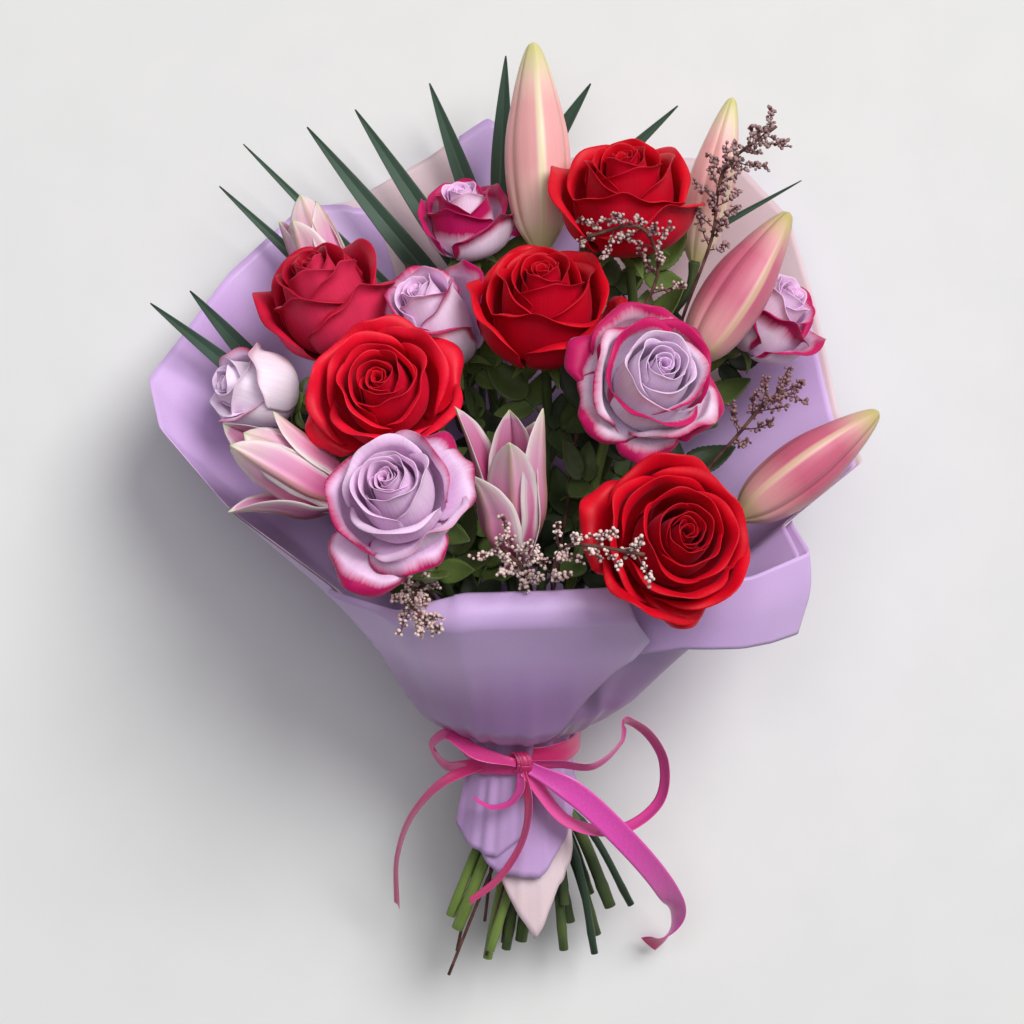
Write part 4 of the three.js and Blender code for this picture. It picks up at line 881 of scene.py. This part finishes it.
# name, foot, tip, girth, and each petal's angle round the flower, how far its tip stands out, its
# length as a share of the flower's, and its belly
OPEN_LILIES = [
    ("lily_open_left", (-72, 4, 120), (-126, 34, 141), 31, [
        (-57, 6, 1.08, 0.3), (235, 10, 0.93, 0.3), (9, 19, 0.84, 0.4), (60, 9, 0.97, 0.36),
        (111, 11, 1.02, 0.42), (181, 31, 0.76, 0.45),
    ]),
    ("lily_open_centre", (3, -24, 138), (-2, 46, 172), 29, [
        (277, 6, 0.95, 0.3), (330, 14, 0.86, 0.34), (196, 24, 0.99, 0.4), (14, 16, 1.0, 0.38),
        (92, 20, 0.9, 0.36), (134, 25, 0.7, 0.5),
    ]),
    ("lily_open_far", (-84, 98, 44), (-101, 150, 68), 30, [
        (250, 5, 0.93, 0.26), (310, 6, 0.86, 0.28), (185, 13, 0.84, 0.34), (15, 7, 0.92, 0.32),
        (75, 4, 1.02, 0.34), (130, 10, 0.86, 0.38),
    ]),
]
# share of the bud's length, and its radius there as a share of the whole
BUD_OUTLINE = [
    (0, 0.26), (0.03, 0.4), (0.1, 0.68), (0.2, 0.88), (0.38, 1), (0.55, 0.95), (0.72, 0.73), (0.86, 0.5),
    (0.95, 0.3), (0.99, 0.16), (1, 0.06),
]


def lily_bud(name, foot, tip, girth, spin, material):
    """A closed bud of three outer petals, each with a pale rib, that meet at seams."""
    foot, tip = np.array(foot, float), np.array(tip, float)
    length = np.linalg.norm(tip - foot)
    line = curve([(h * length, r * girth / 2, 0) for h, r in BUD_OUTLINE], 46)
    rows, sides = len(line), 72
    angle = np.arange(sides) * 2 * np.pi / sides
    third = 2 * np.pi / 3
    from_rib = np.abs((angle + third / 2) % third - third / 2)
    ridge = np.exp(-((from_rib / 0.17) ** 2))
    edge = np.exp(-(((from_rib - 0.36 * third) / 0.1) ** 2))
    seam = np.exp(-(((third / 2 - from_rib) / 0.1) ** 2))
    section = 1 + 0.045 * ridge + 0.02 * edge - 0.06 * seam + 0.035 * np.cos(3 * angle)
    r = line[:, 1:2] * section
    grid = np.stack([r * np.cos(angle), r * np.sin(angle), np.broadcast_to(line[:, :1], r.shape)], -1)
    axis = unit(tip - foot)
    turn = Vector((0, 0, 1)).rotation_difference(Vector(axis)).to_matrix()
    up = math.atan2(turn[2][1], turn[2][0]) + math.radians(spin)
    points = placed(grid.reshape(-1, 3), foot, axis, up)
    numbers = {
        "across": from_rib * 3, "rib": np.maximum(ridge, 0.45 * edge), "seam": seam,
        "turn": np.floor(angle / third),
    }
    shape = Shape()
    shape.add(
        np.concatenate([points, [foot, tip + axis * 0.4]]), *ring_faces(rows, sides),
        along=np.append(np.repeat(line[:, 0] / length, sides), [0, 1]),
        **{key: np.append(np.tile(row, rows), [0, 0]) for key, row in numbers.items()},
    )
    shape.piece(name + "_petals", material, "petal_lily", name)


# share of the petal's length, and half width there
LILY_PETAL = [
    (0, 0.14), (0.12, 0.42), (0.32, 0.94), (0.5, 1.12), (0.68, 1), (0.84, 0.66), (0.94, 0.32), (1, 0.02),
]
# the same as shares of the girth, for the inner and the outer petals
LILY_PETAL_GIRTH = (0.36, 0.42)


def open_lily(name, foot, tip, girth, petals):
    """Six thick petals, every other one wider, parting towards their pointed tips."""
    foot, tip = np.array(foot, float), np.array(tip, float)
    axis = unit(tip - foot)
    level = unit(np.cross(axis, (0, 0, 1)))
    upright = np.cross(level, axis)
    length = np.linalg.norm(tip - foot)
    u = np.linspace(-1, 1, 17)[None, :]
    v = np.linspace(0, 1, 36)[:, None]
    rng = seeded(name)
    shape = Shape()
    for n, (angle, stand, reach, belly) in enumerate(petals):
        wave = rng.uniform(0, 6)
        tall, wide = length * reach, belly * girth
        line = curve([
            (0.07 * girth, 0), (0.15 * girth, 0.1 * tall), (wide, 0.34 * tall),
            (mix(wide, stand, 0.25), 0.62 * tall), (mix(wide, stand, 0.6), 0.84 * tall), (stand, tall),
        ], len(v))
        half = girth * LILY_PETAL_GIRTH[n % 2] * between(LILY_PETAL, v)
        cup = -0.42 * half * u * u + 0.22 * half * np.exp(-((u / 0.12) ** 2))
        out = line[:, :1] + cup + 0.5 * np.sin(8 * v + wave) * u * v
        beside = half * u + 0.4 * np.sin(7 * v + wave) * v
        way = math.cos(math.radians(angle)) * level + math.sin(math.radians(angle)) * upright
        aside = np.cross(axis, way)
        grid = foot + out[..., None] * way + beside[..., None] * aside + line[:, 1][:, None, None] * axis
        rim = np.maximum(np.abs(u) ** 1.4, smooth((v - 0.8) / 0.2))
        thick = LILY_PETAL_THICK * (1 - 0.7 * np.abs(u)) * (1 - 0.6 * v)
        shape.blade(grid, thick, along=v, across=u, middle=1 - np.abs(u), rim=rim, turn=float(n))
    shape.piece(name + "_petals", LILY, "petal_lily", name)


def lily_stem(name):
    """A forked stem with an arm to each of its flowers, and leaves round its top."""
    shape = Shape()
    rng = seeded(name)
    rings, arms = stem_rings(name, STEM_SIDES, LILY_STEM_RADIUS, LILY_ARM_RADIUS)
    fork = arms[0][0]
    path = stem_tube(shape, [*rings, fork], LILY_STEM_RADIUS)
    for arm in arms:
        line = curve([path[-6], *arm], 40)
        radii = LILY_ARM_RADIUS * mix(1, 1.35, smooth((np.linspace(0, 1, 40) - 0.85) / 0.15))
        shape.tube(line, radii, 12)
    for n in range(6):
        i = len(path) - 4 - 4 * n
        way = unit(path[i + 1] - path[i - 1])
        angle = n * GOLDEN_ANGLE + rng.uniform(0, 6)
        out = sideways(angle, way)
        tip = path[i] + out * rng.uniform(14, 26) + way * rng.uniform(30, 46)
        face = unit(way + (0, 0, 0.5))
        leaf(shape, path[i] + out * 2, tip, 11, face, 0.35, -4, 0.42, tone=rng.uniform(0, 0.7))
    shape.piece(name + "_green", STEM, "stem_green", name)


for bud in LILY_BUDS:
    lily_bud(*bud)
for flower in OPEN_LILIES:
    open_lily(*flower)
for name in ("lily_stem_back", "lily_stem_right", "lily_stem_left", "lily_stem_far"):
    lily_stem(name)


# ---- Palm fronds ----
# name, rib, and each leaflet's place on the rib, width and tip
FRONDS = [
    ("palm_frond_back", [(-12, 20, 26), (-14, 90, 19), (-6, 150, 17)], [
        (0.12, 9, (-141, 157, 44)), (0.3, 6.5, (-130, 178, 38)), (0.45, 11, (-99, 186, 40)),
        (0.6, 10, (-76, 195, 36)), (0.8, 9.5, (-40, 208, 34)), (0.95, 9, (-3, 221, 36)),
        (0.9, 10, (38, 207, 40)), (0.7, 9, (80, 196, 42)), (0.4, 5.5, (138, 158, 60)),
    ]),
    ("palm_frond_left", [(-46, -20, 40), (-76, 20, 48), (-100, 45, 56)], [
        (0.7, 9, (-168, 97, 96)), (0.95, 9.5, (-150, 103, 92)),
    ]),
]


def palm_frond(name, rib, leaflets):
    """A palm leaf: a rib that goes on from its stem, with long leaflets."""
    shape = Shape()
    rings, _ = stem_rings(name, STEM_SIDES, FROND_STEM_RADIUS)
    path = [p for p in rings if p[1] < rib[0][1] - 8]
    stem_tube(shape, [*path, *rib], FROND_STEM_RADIUS)
    way = curve(rib, 101)
    for at, width, tip in leaflets:
        leaf(shape, way[round(at * 100)], tip, width, (0, 0, 1), 0.45, -5, 0.36, cols=13, rows=40)
    shape.piece(name + "_leaves", PALM, "palm_green", name)


for frond in FRONDS:
    palm_frond(*frond)


# ---- Filler sprays ----
# name, twigs, how pale its flowers are, and the stretch of stem that carries them; the low paleness of
# spray_right is painted shade, for a spray lying in shadow
SPRAYS = [
    ("spray_top", 28, 0.3, [(80, 92, 92), (93, 128, 98), (98, 158, 106), (122, 178, 106)]),
    ("spray_red", 13, 0.6, [(34, 52, 112), (66, 108, 132), (58, 128, 140), (34, 124, 142)]),
    ("spray_left", 20, 0.85, [(-32, -44, 126), (-40, -34, 158), (-44, -40, 174), (-37, -50, 179)]),
    ("spray_middle", 14, 0.9, [(8, -46, 120), (6, -30, 154), (2, -22, 178), (-6, -14, 186)]),
    ("spray_front", 16, 1.0, [(18, -50, 130), (18, -26, 172), (26, -14, 213), (56, -18, 224)]),
    ("spray_right", 13, 0.15, [(84, 12, 108), (104, 36, 116), (116, 50, 118), (126, 56, 116)]),
]
TWIG_LENGTH = 15
SHOOT_POINTS = 14
SHOOT_RADIUS = 0.32
# points of a shoot from which it carries single florets, and pairs of them
FLORETS_FROM = 3
PAIRS_FROM = 6
FLORET_RADIUS = 0.88
FLORET_STALK_RADIUS = 0.2
FLORET_STALK = (0.7, 2.3)


def spray(name, twigs, pale, route):
    """A wiry stem with side shoots, each set with small round flowers."""
    rng = seeded(name)
    rings, _ = stem_rings(name, SPRAY_STEM_SIDES, SPRAY_STEM_RADIUS)
    end = np.array(route[0], float)
    below = [p for p in rings if p[1] < end[1] - 12]
    shape = Shape()
    shape.tube(curve([*below, *route], 70), SPRAY_STEM_RADIUS * 0.75, 8, turn=0.2)
    way = curve(route, 60)
    for n in range(twigs):
        i = int(mix(16, 57, n / (twigs - 1)))
        ahead = unit(way[i + 1] - way[i - 1])
        angle = n * GOLDEN_ANGLE
        out = sideways(angle, ahead)
        length = TWIG_LENGTH * rng.uniform(0.55, 1.1)
        tip = way[i] + unit(out + ahead * rng.uniform(0.6, 1.2)) * length + (0, 0, rng.uniform(0, 3))
        shoot = curve([way[i], way[i] * 0.5 + tip * 0.5 + rng.uniform(-1, 1, 3), tip], SHOOT_POINTS)
        shape.tube(shoot, SHOOT_RADIUS, 5)
        for j in range(FLORETS_FROM, SHOOT_POINTS):
            for _ in range(1 if j < PAIRS_FROM else 2):
                off = unit(rng.normal(size=3)) * rng.uniform(*FLORET_STALK)
                radius = FLORET_RADIUS * rng.uniform(0.65, 1.15)
                shape.tube([shoot[j], shoot[j] + off * 0.6, shoot[j] + off], FLORET_STALK_RADIUS, 4)
                shape.floret(shoot[j] + off * 1.1, unit(off + ahead * 0.6), radius, pale)
    shape.piece(name + "_flowers", SPRAY, "spray_brown", name)


for plant in SPRAYS:
    spray(*plant)


# ---- Paper ----
# The rim of the opened wrap, anticlockwise as seen from the flowers: left front, left, back, right, front.
# A place on it is a count of these points.
RIM = np.array([
    (-78, -35, 138), (-132, 3, 112), (-167, 41, 88), (-174, 65, 76), (-158, 89, 60), (-139, 119, 38),
    (-104, 154, 20), (-80, 155, 15), (-40, 176, 10), (-12, 195, 7), (4, 184, 7), (63, 176, 8),
    (110, 173, 12), (135, 144, 24), (146, 102, 40), (155, 48, 62), (165, 24, 78), (142, 7, 94),
    (127, -4, 106), (134, -18, 124), (106, -29, 138), (53, -34, 150), (25, -35, 152),
    (-15, -36, 154), (-49, -44, 146),
], float)
SKIRT_ROWS = 16
SHEET_ROWS = 64
ROLL_STEPS = 18
CUFF_STEPS = 20
COLUMNS_PER_PLACE = 12
# how the paper bulges at its back and sides, bulges in front, and sags at its back: share of the way from
# the collar to the rim, and share of the most
SWELL = [(0, 0), (0.2, 0.6), (0.5, 1), (0.8, 0.6), (1, 0)]
BELLY = [(0, 0), (0.07, 0.75), (0.18, 1), (0.4, 0.62), (0.65, 0.25), (1, 0)]
BELLY_DEPTH = 12
SAG = [(0, 0), (0.2, 0.9), (0.5, 0.6), (0.8, 0.36), (1, 0)]


def risen(angle):
    """A direction across the bunch, lying back by an angle in degrees."""
    return np.array([0, -math.sin(math.radians(angle)), math.cos(math.radians(angle))])


def heading(rise, swing=0):
    """A direction along the bunch, rising from the table and swung to the right, in degrees."""
    rise, swing = math.radians(rise), math.radians(swing)
    return np.array([math.sin(swing), math.cos(swing) * math.cos(rise), math.cos(swing) * math.sin(rise)])


RING_UP = risen(TIE_RISE)
RING_AXIS = heading(TIE_RISE)
UPWARD = risen(UPPER_RISE)
UPPER_AXIS = heading(UPPER_RISE)
LOWER_AXIS = heading(LOWER_RISE, LOWER_SWING)
ACROSS = np.array([1.0, 0, 0])


def round_tie(angle):
    """The direction out from the tie at an angle round it."""
    return np.cos(angle)[..., None] * ACROSS + np.sin(angle)[..., None] * RING_UP


def ring_reach(node):
    """How far a ring round the tie reaches from its middle, across the bunch."""
    low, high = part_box(node)
    return max(high.x / MM - TIE[0], TIE[0] - low.x / MM)


TWINE_OUTSIDE = ring_reach("binding_twine")
TWINE_RADIUS = 1.1
PAPER_NECK = TWINE_OUTSIDE + SOLID_THICK / 2 + 0.9
BAND_INNER = PAPER_NECK + 3 * SHEET_STEP + SOLID_THICK / 2 + 1.4


def rim_point(place, soft):
    """The rim at a place, with its corners softened over soft places to either side."""
    total = 0
    offsets = np.linspace(-1, 1, 9)
    weights = 1.1 - np.abs(offsets)
    for offset, weight in zip(offsets, weights / weights.sum()):
        at = (place + offset * soft) % len(RIM)
        i = np.floor(at).astype(int)
        t = (at - i)[..., None]
        total = total + weight * (RIM[i % len(RIM)] * (1 - t) + RIM[(i + 1) % len(RIM)] * t)
    return total


def rim_angle(place):
    way = rim_point(place, 0.5) - TIE
    return np.arctan2(way @ UPWARD, way @ ACROSS)


def soft_between(pairs, at, width=0.1):
    return sum(between(pairs, np.clip(at + d, 0, 1)) for d in np.linspace(-width, width, 7)) / 7


def wrap_points(place, share, step, puff):
    """The form that every sheet lies on. place runs round the rim, and share from the collar, 0, to the
    rim, 1. Below the collar share is minus the distance."""
    angle = rim_angle(place)
    out = round_tie(angle)
    pleat = np.sin(19 * angle + 1.3 * np.sin(3 * angle)) + 0.5 * np.sin(31 * angle)
    neck = TIE + out * (PAPER_NECK + step + 0.35 * pleat[..., None])
    below = np.minimum(share, 0)
    flare = mix(SKIRT_FLARE[0], SKIRT_FLARE[1], np.cos(angle) ** 2)
    skirt = neck + LOWER_AXIS * (below - COLLAR / 2)[..., None] - out * (flare * below)[..., None]
    above = np.maximum(share, 0)
    rim = rim_point(place, mix(0.9, 0.1, smooth(above / 0.95))) + out * step * 0.4
    point = neck + UPPER_AXIS * COLLAR / 2
    point = point + (rim - point) * above[..., None]
    front = smooth(1.6 * np.sin(angle) + 0.6)
    hollow = soft_between(SWELL, above) * mix(9, -5, smooth(np.abs(np.cos(angle))))
    swell = mix(hollow, BELLY_DEPTH * soft_between(BELLY, above, 0.03), front) + puff * above
    swell = swell + np.exp(-(((above - 0.07) / 0.09) ** 2)) * 0.6 * pleat
    swell = swell + 1.4 * np.sin(2.3 * place + 4 * above) * above * (1 - above) * 4
    point = point + out * swell[..., None]
    sag = BACK_SAG * soft_between(SAG, above) * smooth(-1.6 * np.sin(angle))
    point[..., 2] -= sag
    return np.where(share[..., None] <= 0, skirt, point), out


# name, from, to, layer, puff, pink inside, pink outside, how much of the way to the rim, hem
SHEETS = [
    (
        "paper_inner", 0, 23, 0, 0, 0, 1,
        [
            (0, 0.985), (1, 0.99), (6.9, 0.985), (7.25, 0.96), (7.4, 0.6), (8.1, 0.66), (8.45, 1), (9.2, 1),
            (10.4, 0.99), (10.9, 0.6), (13.5, 0.62), (13.8, 0.98), (15, 0.985), (18, 0.985), (19.5, 0.97),
            (20.4, 0.9), (21, 0.55), (23, 0.5),
        ],
        [(0, 33), (1, 26), (4, 20), (15, 18), (18, 26), (20, 47), (21, 60), (22, 84), (22.5, 70), (23, 52)],
    ),
    (
        "paper_outer", 0.1, 19, 1, 0, 1, 0,
        [
            (0.1, 0.97), (5, 0.965), (7, 0.99), (8.3, 1), (8.5, 0.98), (10.5, 0.98), (10.9, 1), (16.5, 1),
            (17.5, 0.9), (19, 0.6),
        ],
        [(1, 24), (5, 22), (15, 24), (19, 22)],
    ),
    (
        "paper_right", 18, 23.5, 2, 0, 0, 0,
        [(18, 1), (20.5, 1), (21, 0.95), (22, 0.86), (23.5, 0.83)],
        [(18, 14), (19, 15), (20, 20), (21, 38), (22, 53), (23, 50), (23.5, 42)],
    ),
    (
        "paper_front", 21, 25, 3, 1, 0, 0,
        [(21, 1), (25, 1)],
        [(22, 24), (23, 42), (24, 38), (25, 30)],
    ),
]
# place, and how wide the right sheet's cuff is there
CUFF_WIDTH = [
    (18, 1), (18.6, 8), (18.95, 42), (19.5, 40), (20, 36), (20.5, 33), (21, 31), (21.3, 26), (21.5, 3),
    (23.5, 3),
]
CUFF_WAY = np.array([-0.24, -0.9, -0.36])
# place, and how far the cuff is pressed in there to lie under the front sheet, from 0 to 1
CUFF_TUCK = [(18, 0), (20.3, 0), (21, 1)]
# share of the way to the rim, and the place at which the front sheet's free edge is there
FRONT_EDGE = [(0, 22.3), (0.3, 21.7), (0.7, 20.85), (0.85, 20.8), (1, 21)]
# place, and radius of the roll along the front sheet's top
ROLL_RADIUS = [(20.9, 11), (23.2, 11), (24.3, 2.5), (25, 2)]
ROLL_TURN = 105
ROLL_SET = np.array([0, -1.4, 0.4])  # how far the roll's start is from the rim, in radii
# least painted shade on the paper, from 0 to 1; the front sheet's roll has none, which paints it lighter,
# and the right and front sheets get more towards the tie, where they lie over others
LEAST_PAINTED_SHADE = 0.2
# middle and half size of the painted shadows of leaves, seen through the right sheet
LEAF_SHADOW_SPOTS = [((37, -84), (4, 9)), ((25, -96), (3.5, 7))]


def rolled_lip(point, out, radius):
    """Rows that carry a sheet on from its last row, turning back towards the flowers."""
    ahead = unit(point[-1] - point[-3])
    facing = unit(np.cross(ahead, np.gradient(point[-1], axis=0)))
    facing = facing * np.sign(np.sum(facing * out[-1], -1, keepdims=True))
    turn = np.radians(np.linspace(0, ROLL_TURN, ROLL_STEPS)[1:, None, None])
    return point[-1] + radius[None, :, None] * (np.sin(turn) * ahead + (np.cos(turn) - 1) * facing)


def turned_cuff(point, out, place):
    """Rows that carry a sheet on from its last row, folded out and down, or pressed flat where tucked."""
    fold = np.linspace(0, 1, CUFF_STEPS)[1:, None, None]
    width = between(CUFF_WIDTH, place)[None, :, None]
    tuck = between(CUFF_TUCK, place)[None, :, None]
    bulge = mix(4.5, 0.8, tuck) * np.sin(np.minimum(fold * 1.6, 1) * np.pi / 2) * width / 30
    way = CUFF_WAY - tuck * np.array([0, 0, 0.34])
    return point[-1] + way * fold * width + out[-1] * bulge


def paper_sheet(name, start, end, layer, puff, pink_inside, pink_outside, reach, hem):
    """One sheet of the wrap, from its hem below the ribbon to its edge among the flowers."""
    skirt = np.linspace(-1, -0.02, SKIRT_ROWS)
    upper = np.linspace(0.0, 1, SHEET_ROWS) ** 0.9
    row = np.concatenate([skirt, upper])[:, None]
    begin = between(FRONT_EDGE, row) if name == "paper_front" else start
    columns = int((end - start) * COLUMNS_PER_PLACE) + 1
    place = mix(begin, end, np.linspace(0, 1, columns)[None, :])
    place = np.broadcast_to(place, (len(row), place.shape[1]))
    most = between(reach, place) * mix(0.85, 1, row)
    above = row * most if name == "paper_inner" else np.minimum(row, most)
    share = np.where(row < 0, row * between(hem, place), above)
    point, out = wrap_points(place, share, layer * SHEET_STEP, puff)
    if name == "paper_front":
        radius = between(ROLL_RADIUS, place)
        point = point + (np.maximum(share, 0) * radius)[..., None] * ROLL_SET
        point = np.concatenate([point, rolled_lip(point, out, radius[-1])])
    if name == "paper_right":
        point = np.concatenate([point, turned_cuff(point, out, place[0])])
    floor = 0.3 + SHEET_STEP * (1 - layer) if layer < 2 else 0.3
    point[..., 2] = np.maximum(point[..., 2], floor)
    # painted shadows of leaves seen through the right sheet
    damp = 0
    if name == "paper_right":
        for (x, y), (wide, high) in LEAF_SHADOW_SPOTS:
            damp = damp + np.exp(-(((point[..., 0] - x) / wide) ** 4) - ((point[..., 1] - y) / high) ** 4)
    # painted shade: more towards the tie on the right and front sheets, where they lie over others, and none
    # on the front sheet's roll, which is painted lighter so
    shade_where_double = np.where(share < 0, 0.5, 1 - smooth((share - 0.3) / 0.62)) * (layer > 1)
    deep = np.full(point.shape[:2], 0.0 if name == "paper_front" else LEAST_PAINTED_SHADE)
    deep[: len(shade_where_double)] = np.maximum(shade_where_double, LEAST_PAINTED_SHADE)
    shape = Shape()
    shape.blade(point, PAPER_THICK, damp=damp, deep=deep)
    values = shape.values[0][1]
    values["pink"] = np.where(values["side"] > 0.5, float(pink_inside), float(pink_outside))
    shape.piece(name + "_sheet", PAPER, "paper", name)


for sheet in SHEETS:
    paper_sheet(*sheet)


# ---- Twine ----
TWINE_POINTS = 400
TWINE_TURNS = 3
TWINE_TWISTS = 40
STRAND_RADIUS = 0.38


def twine():
    """Three turns of two-ply twine side by side round the stems, inside the paper."""
    shape = Shape()
    t = np.linspace(0, 1, TWINE_POINTS)
    ring = TWINE_OUTSIDE - TWINE_RADIUS
    for strand in range(2):
        angle = 2 * np.pi * TWINE_TURNS * t
        twist = 2 * np.pi * TWINE_TWISTS * t + strand * np.pi
        radius = ring + 0.3 * np.cos(twist)
        lift = mix(-1.1, 1.1, t) + 0.3 * np.sin(twist)
        shape.tube(TIE + round_tie(angle) * radius[:, None] + RING_AXIS * lift[:, None], STRAND_RADIUS, 6)
    shape.piece("twine_turns", TWINE, "twine", "binding_twine")


twine()


# ---- Ribbon ----
# width at the start and end, tone from red to magenta, which is painted light: lit strips lighter magenta,
# shaded ones redder, angles of the width from upright towards level, route
STRIPS = [
    (8.5, 8.5, 0.3, (50, 50, 35, 20, 30, 60, 60), [
        (2, -117, 93), (-16, -112, 95), (-30, -104, 88), (-37, -110, 79), (-31, -119, 76), (-16, -119, 84),
        (2, -119, 90),
    ]),
    (8.5, 8.5, 0.5, (40, 30, 25, 15, 20, 30, 30, 30, 30, 35, 50), [
        (6, -117, 93), (22, -117, 94), (38, -118, 93), (51, -107, 88), (53, -98, 84), (63, -103, 78),
        (72, -118, 71), (70, -137, 68), (52, -150, 72), (26, -145, 84), (6, -120, 90),
    ]),
    (8.5, 5.5, 0.1, (50, 30, 22, 22, 30), [
        (-14, -119, 84), (-31, -126, 82), (-46, -142, 68), (-55, -166, 44), (-56, -192, 24),
    ]),
    (8, 5, 0.0, (50, 30, 25, 30, 30), [
        (5, -120, 91), (8, -136, 92), (5, -154, 88), (-6, -172, 82), (-20, -184, 75),
    ]),
    (11.5, 11, 1.0, (75, 80, 85, 75, 40, -15, -60), [
        (8, -119, 92), (28, -130, 94), (53, -154, 80), (74, -181, 50), (80, -196, 28), (75, -208, 17),
        (67, -213, 12),
    ]),
    (7, 3, 0.6, (50, 40, 30, 25, 20), [
        (4, -120, 91), (4, -129, 92), (-1, -136, 91), (-10, -138, 89), (-18, -134, 87),
    ]),
]


ROWS_PER_SPAN = 26
STRIP_COLUMNS = 9
KNOT_WRAPS = 3
KNOT_SIZE = (2.3, 5.2, 3.6)


def strip(shape, first, last, tone, turn, route):
    """A flat strip along a route, cupped a little across its width."""
    rows = ROWS_PER_SPAN * (len(route) - 1)
    path = curve(route, rows)
    tangent = unit(np.gradient(path, axis=0))
    level = unit(np.stack([-tangent[:, 1], tangent[:, 0], 0 * tangent[:, 0]], -1))
    upright = unit(np.cross(tangent, level))
    angle = np.radians(curve([(a, i, 0) for i, a in enumerate(turn)], rows)[:, 0])
    wide = upright * np.cos(angle)[:, None] + level * np.sin(angle)[:, None]
    u = np.linspace(-1, 1, STRIP_COLUMNS)
    cup = unit(np.cross(tangent, wide))
    t = np.linspace(0, 1, rows)
    width = mix(first, last, t) * mix(0.55, 1, smooth(t * len(route) / 1.2))
    grid = (
        path[:, None, :]
        + wide[:, None, :] * (u[None, :, None] * (width / 2)[:, None, None])
        + cup[:, None, :] * (0.6 * (u**2 - 0.4))[None, :, None]
    )
    length = np.cumsum(np.linalg.norm(np.gradient(path, axis=0), axis=1))
    shape.blade(grid, RIBBON_THICK, along=(length / 100)[:, None], across=u[None, :], tone=tone)


def ribbon():
    """The one ribbon: a creased band round the paper, the knot, two loops and four tails."""
    shape = Shape()
    rows, cols = 160, 13
    angle = np.linspace(0, 2 * np.pi, rows)[:, None]
    u = np.linspace(-1, 1, cols)[None, :]
    crease = np.cos(u * np.pi * 1.5 + 2 * np.sin(2 * angle)) * np.abs(np.sin(angle / 2))
    radius = BAND_INNER + 0.4 + 0.5 * crease
    grid = TIE + round_tie(angle) * radius[..., None] + RING_AXIS * (u * RIBBON_WIDTH / 2)[..., None]
    shape.blade(grid, RIBBON_THICK, along=angle * BAND_INNER / 100, across=u)
    for part in STRIPS:
        strip(shape, *part)
    top = TIE + RING_UP * (BAND_INNER + 4.6)
    wide, long, high = KNOT_SIZE
    for wrap in range(KNOT_WRAPS):
        lean = (wrap - 1) * 0.35
        t = np.linspace(0, 2 * np.pi, 48)[:, None]
        u = np.linspace(-1, 1, STRIP_COLUMNS)[None, :]
        size = 1 - 0.12 * abs(wrap - 1)
        crease = 0.35 * np.cos(u * 6 + wrap) * np.abs(np.sin(t))
        x = wide * size * np.cos(t) + (wrap - 1) * 1.3 + u * 2.2
        y = (long * size + crease) * np.sin(t) + u * lean
        z = (high * size + crease) * np.cos(t)
        grid = top + x[..., None] * ACROSS + y[..., None] * RING_AXIS + z[..., None] * RING_UP
        shape.blade(grid, RIBBON_THICK * 1.6, along=t / 8, across=u)
    shape.piece("ribbon_and_bow", SATIN, "satin", "ribbon_bow")


ribbon()


# ---- Floor, light and camera ----
def plain_stage():
    """A pale floor, a little uneven in tone."""
    floor = bpy.data.meshes.new("floor")
    floor.from_pydata([(-3, -3, 0), (3, -3, 0), (3, 3, 0), (-3, 3, 0)], [], [(0, 1, 2, 3)])
    obj = bpy.data.objects.new("floor", floor)
    bpy.context.scene.collection.objects.link(obj)
    look = Look("floor_paint", Roughness=0.9, Specular_IOR_Level=0.1)
    mottled = look.fade(look.noise(look.place(), 30.0, 2.0), 0.3, 0.7)
    floor.materials.append(look.done(look.blend(mottled, (0.78, 0.785, 0.785), (0.8, 0.8, 0.8))))


def area_light(name, place, target, size, power, colour):
    """A round soft light, in metres and watts, that looks at a target."""
    light = bpy.data.lights.new(name, "AREA")
    light.shape = "DISK"
    light.size = size
    light.energy = power
    light.color = colour
    obj = bpy.data.objects.new(name, light)
    obj.location = place
    obj.rotation_euler = (Vector(target) - Vector(place)).to_track_quat("-Z", "Y").to_euler()
    bpy.context.scene.collection.objects.link(obj)


def surroundings(colour, strength):
    world = bpy.data.worlds.new("studio")
    bpy.context.scene.world = world
    world.use_nodes = True
    background = world.node_tree.nodes["Background"]
    background.inputs["Color"].default_value = colour
    background.inputs["Strength"].default_value = strength


def camera():
    """Straight above the middle of the bouquet, as the photograph was taken."""
    data = bpy.data.cameras.new("camera")
    data.lens = LENS
    data.sensor_width = SENSOR
    data.clip_end = 20
    obj = bpy.data.objects.new("camera", data)
    obj.location = (0, 0, CAMERA_HEIGHT)
    bpy.context.scene.collection.objects.link(obj)
    bpy.context.scene.camera = obj


plain_stage()
area_light(
    "key", place=(3.3, 3.5, 6.3), target=(0, 0, 0.08), size=4.6, power=554, colour=(1.0, 0.985, 0.97)
)
area_light(
    "fill", place=(-0.3, 0.9, 4.4), target=(0, 0, 0.05), size=3.2, power=62, colour=(0.98, 0.99, 1.0)
)
surroundings(colour=(0.9, 0.92, 0.95, 1), strength=0.09)
bpy.context.scene.view_settings.view_transform = "Standard"
camera()
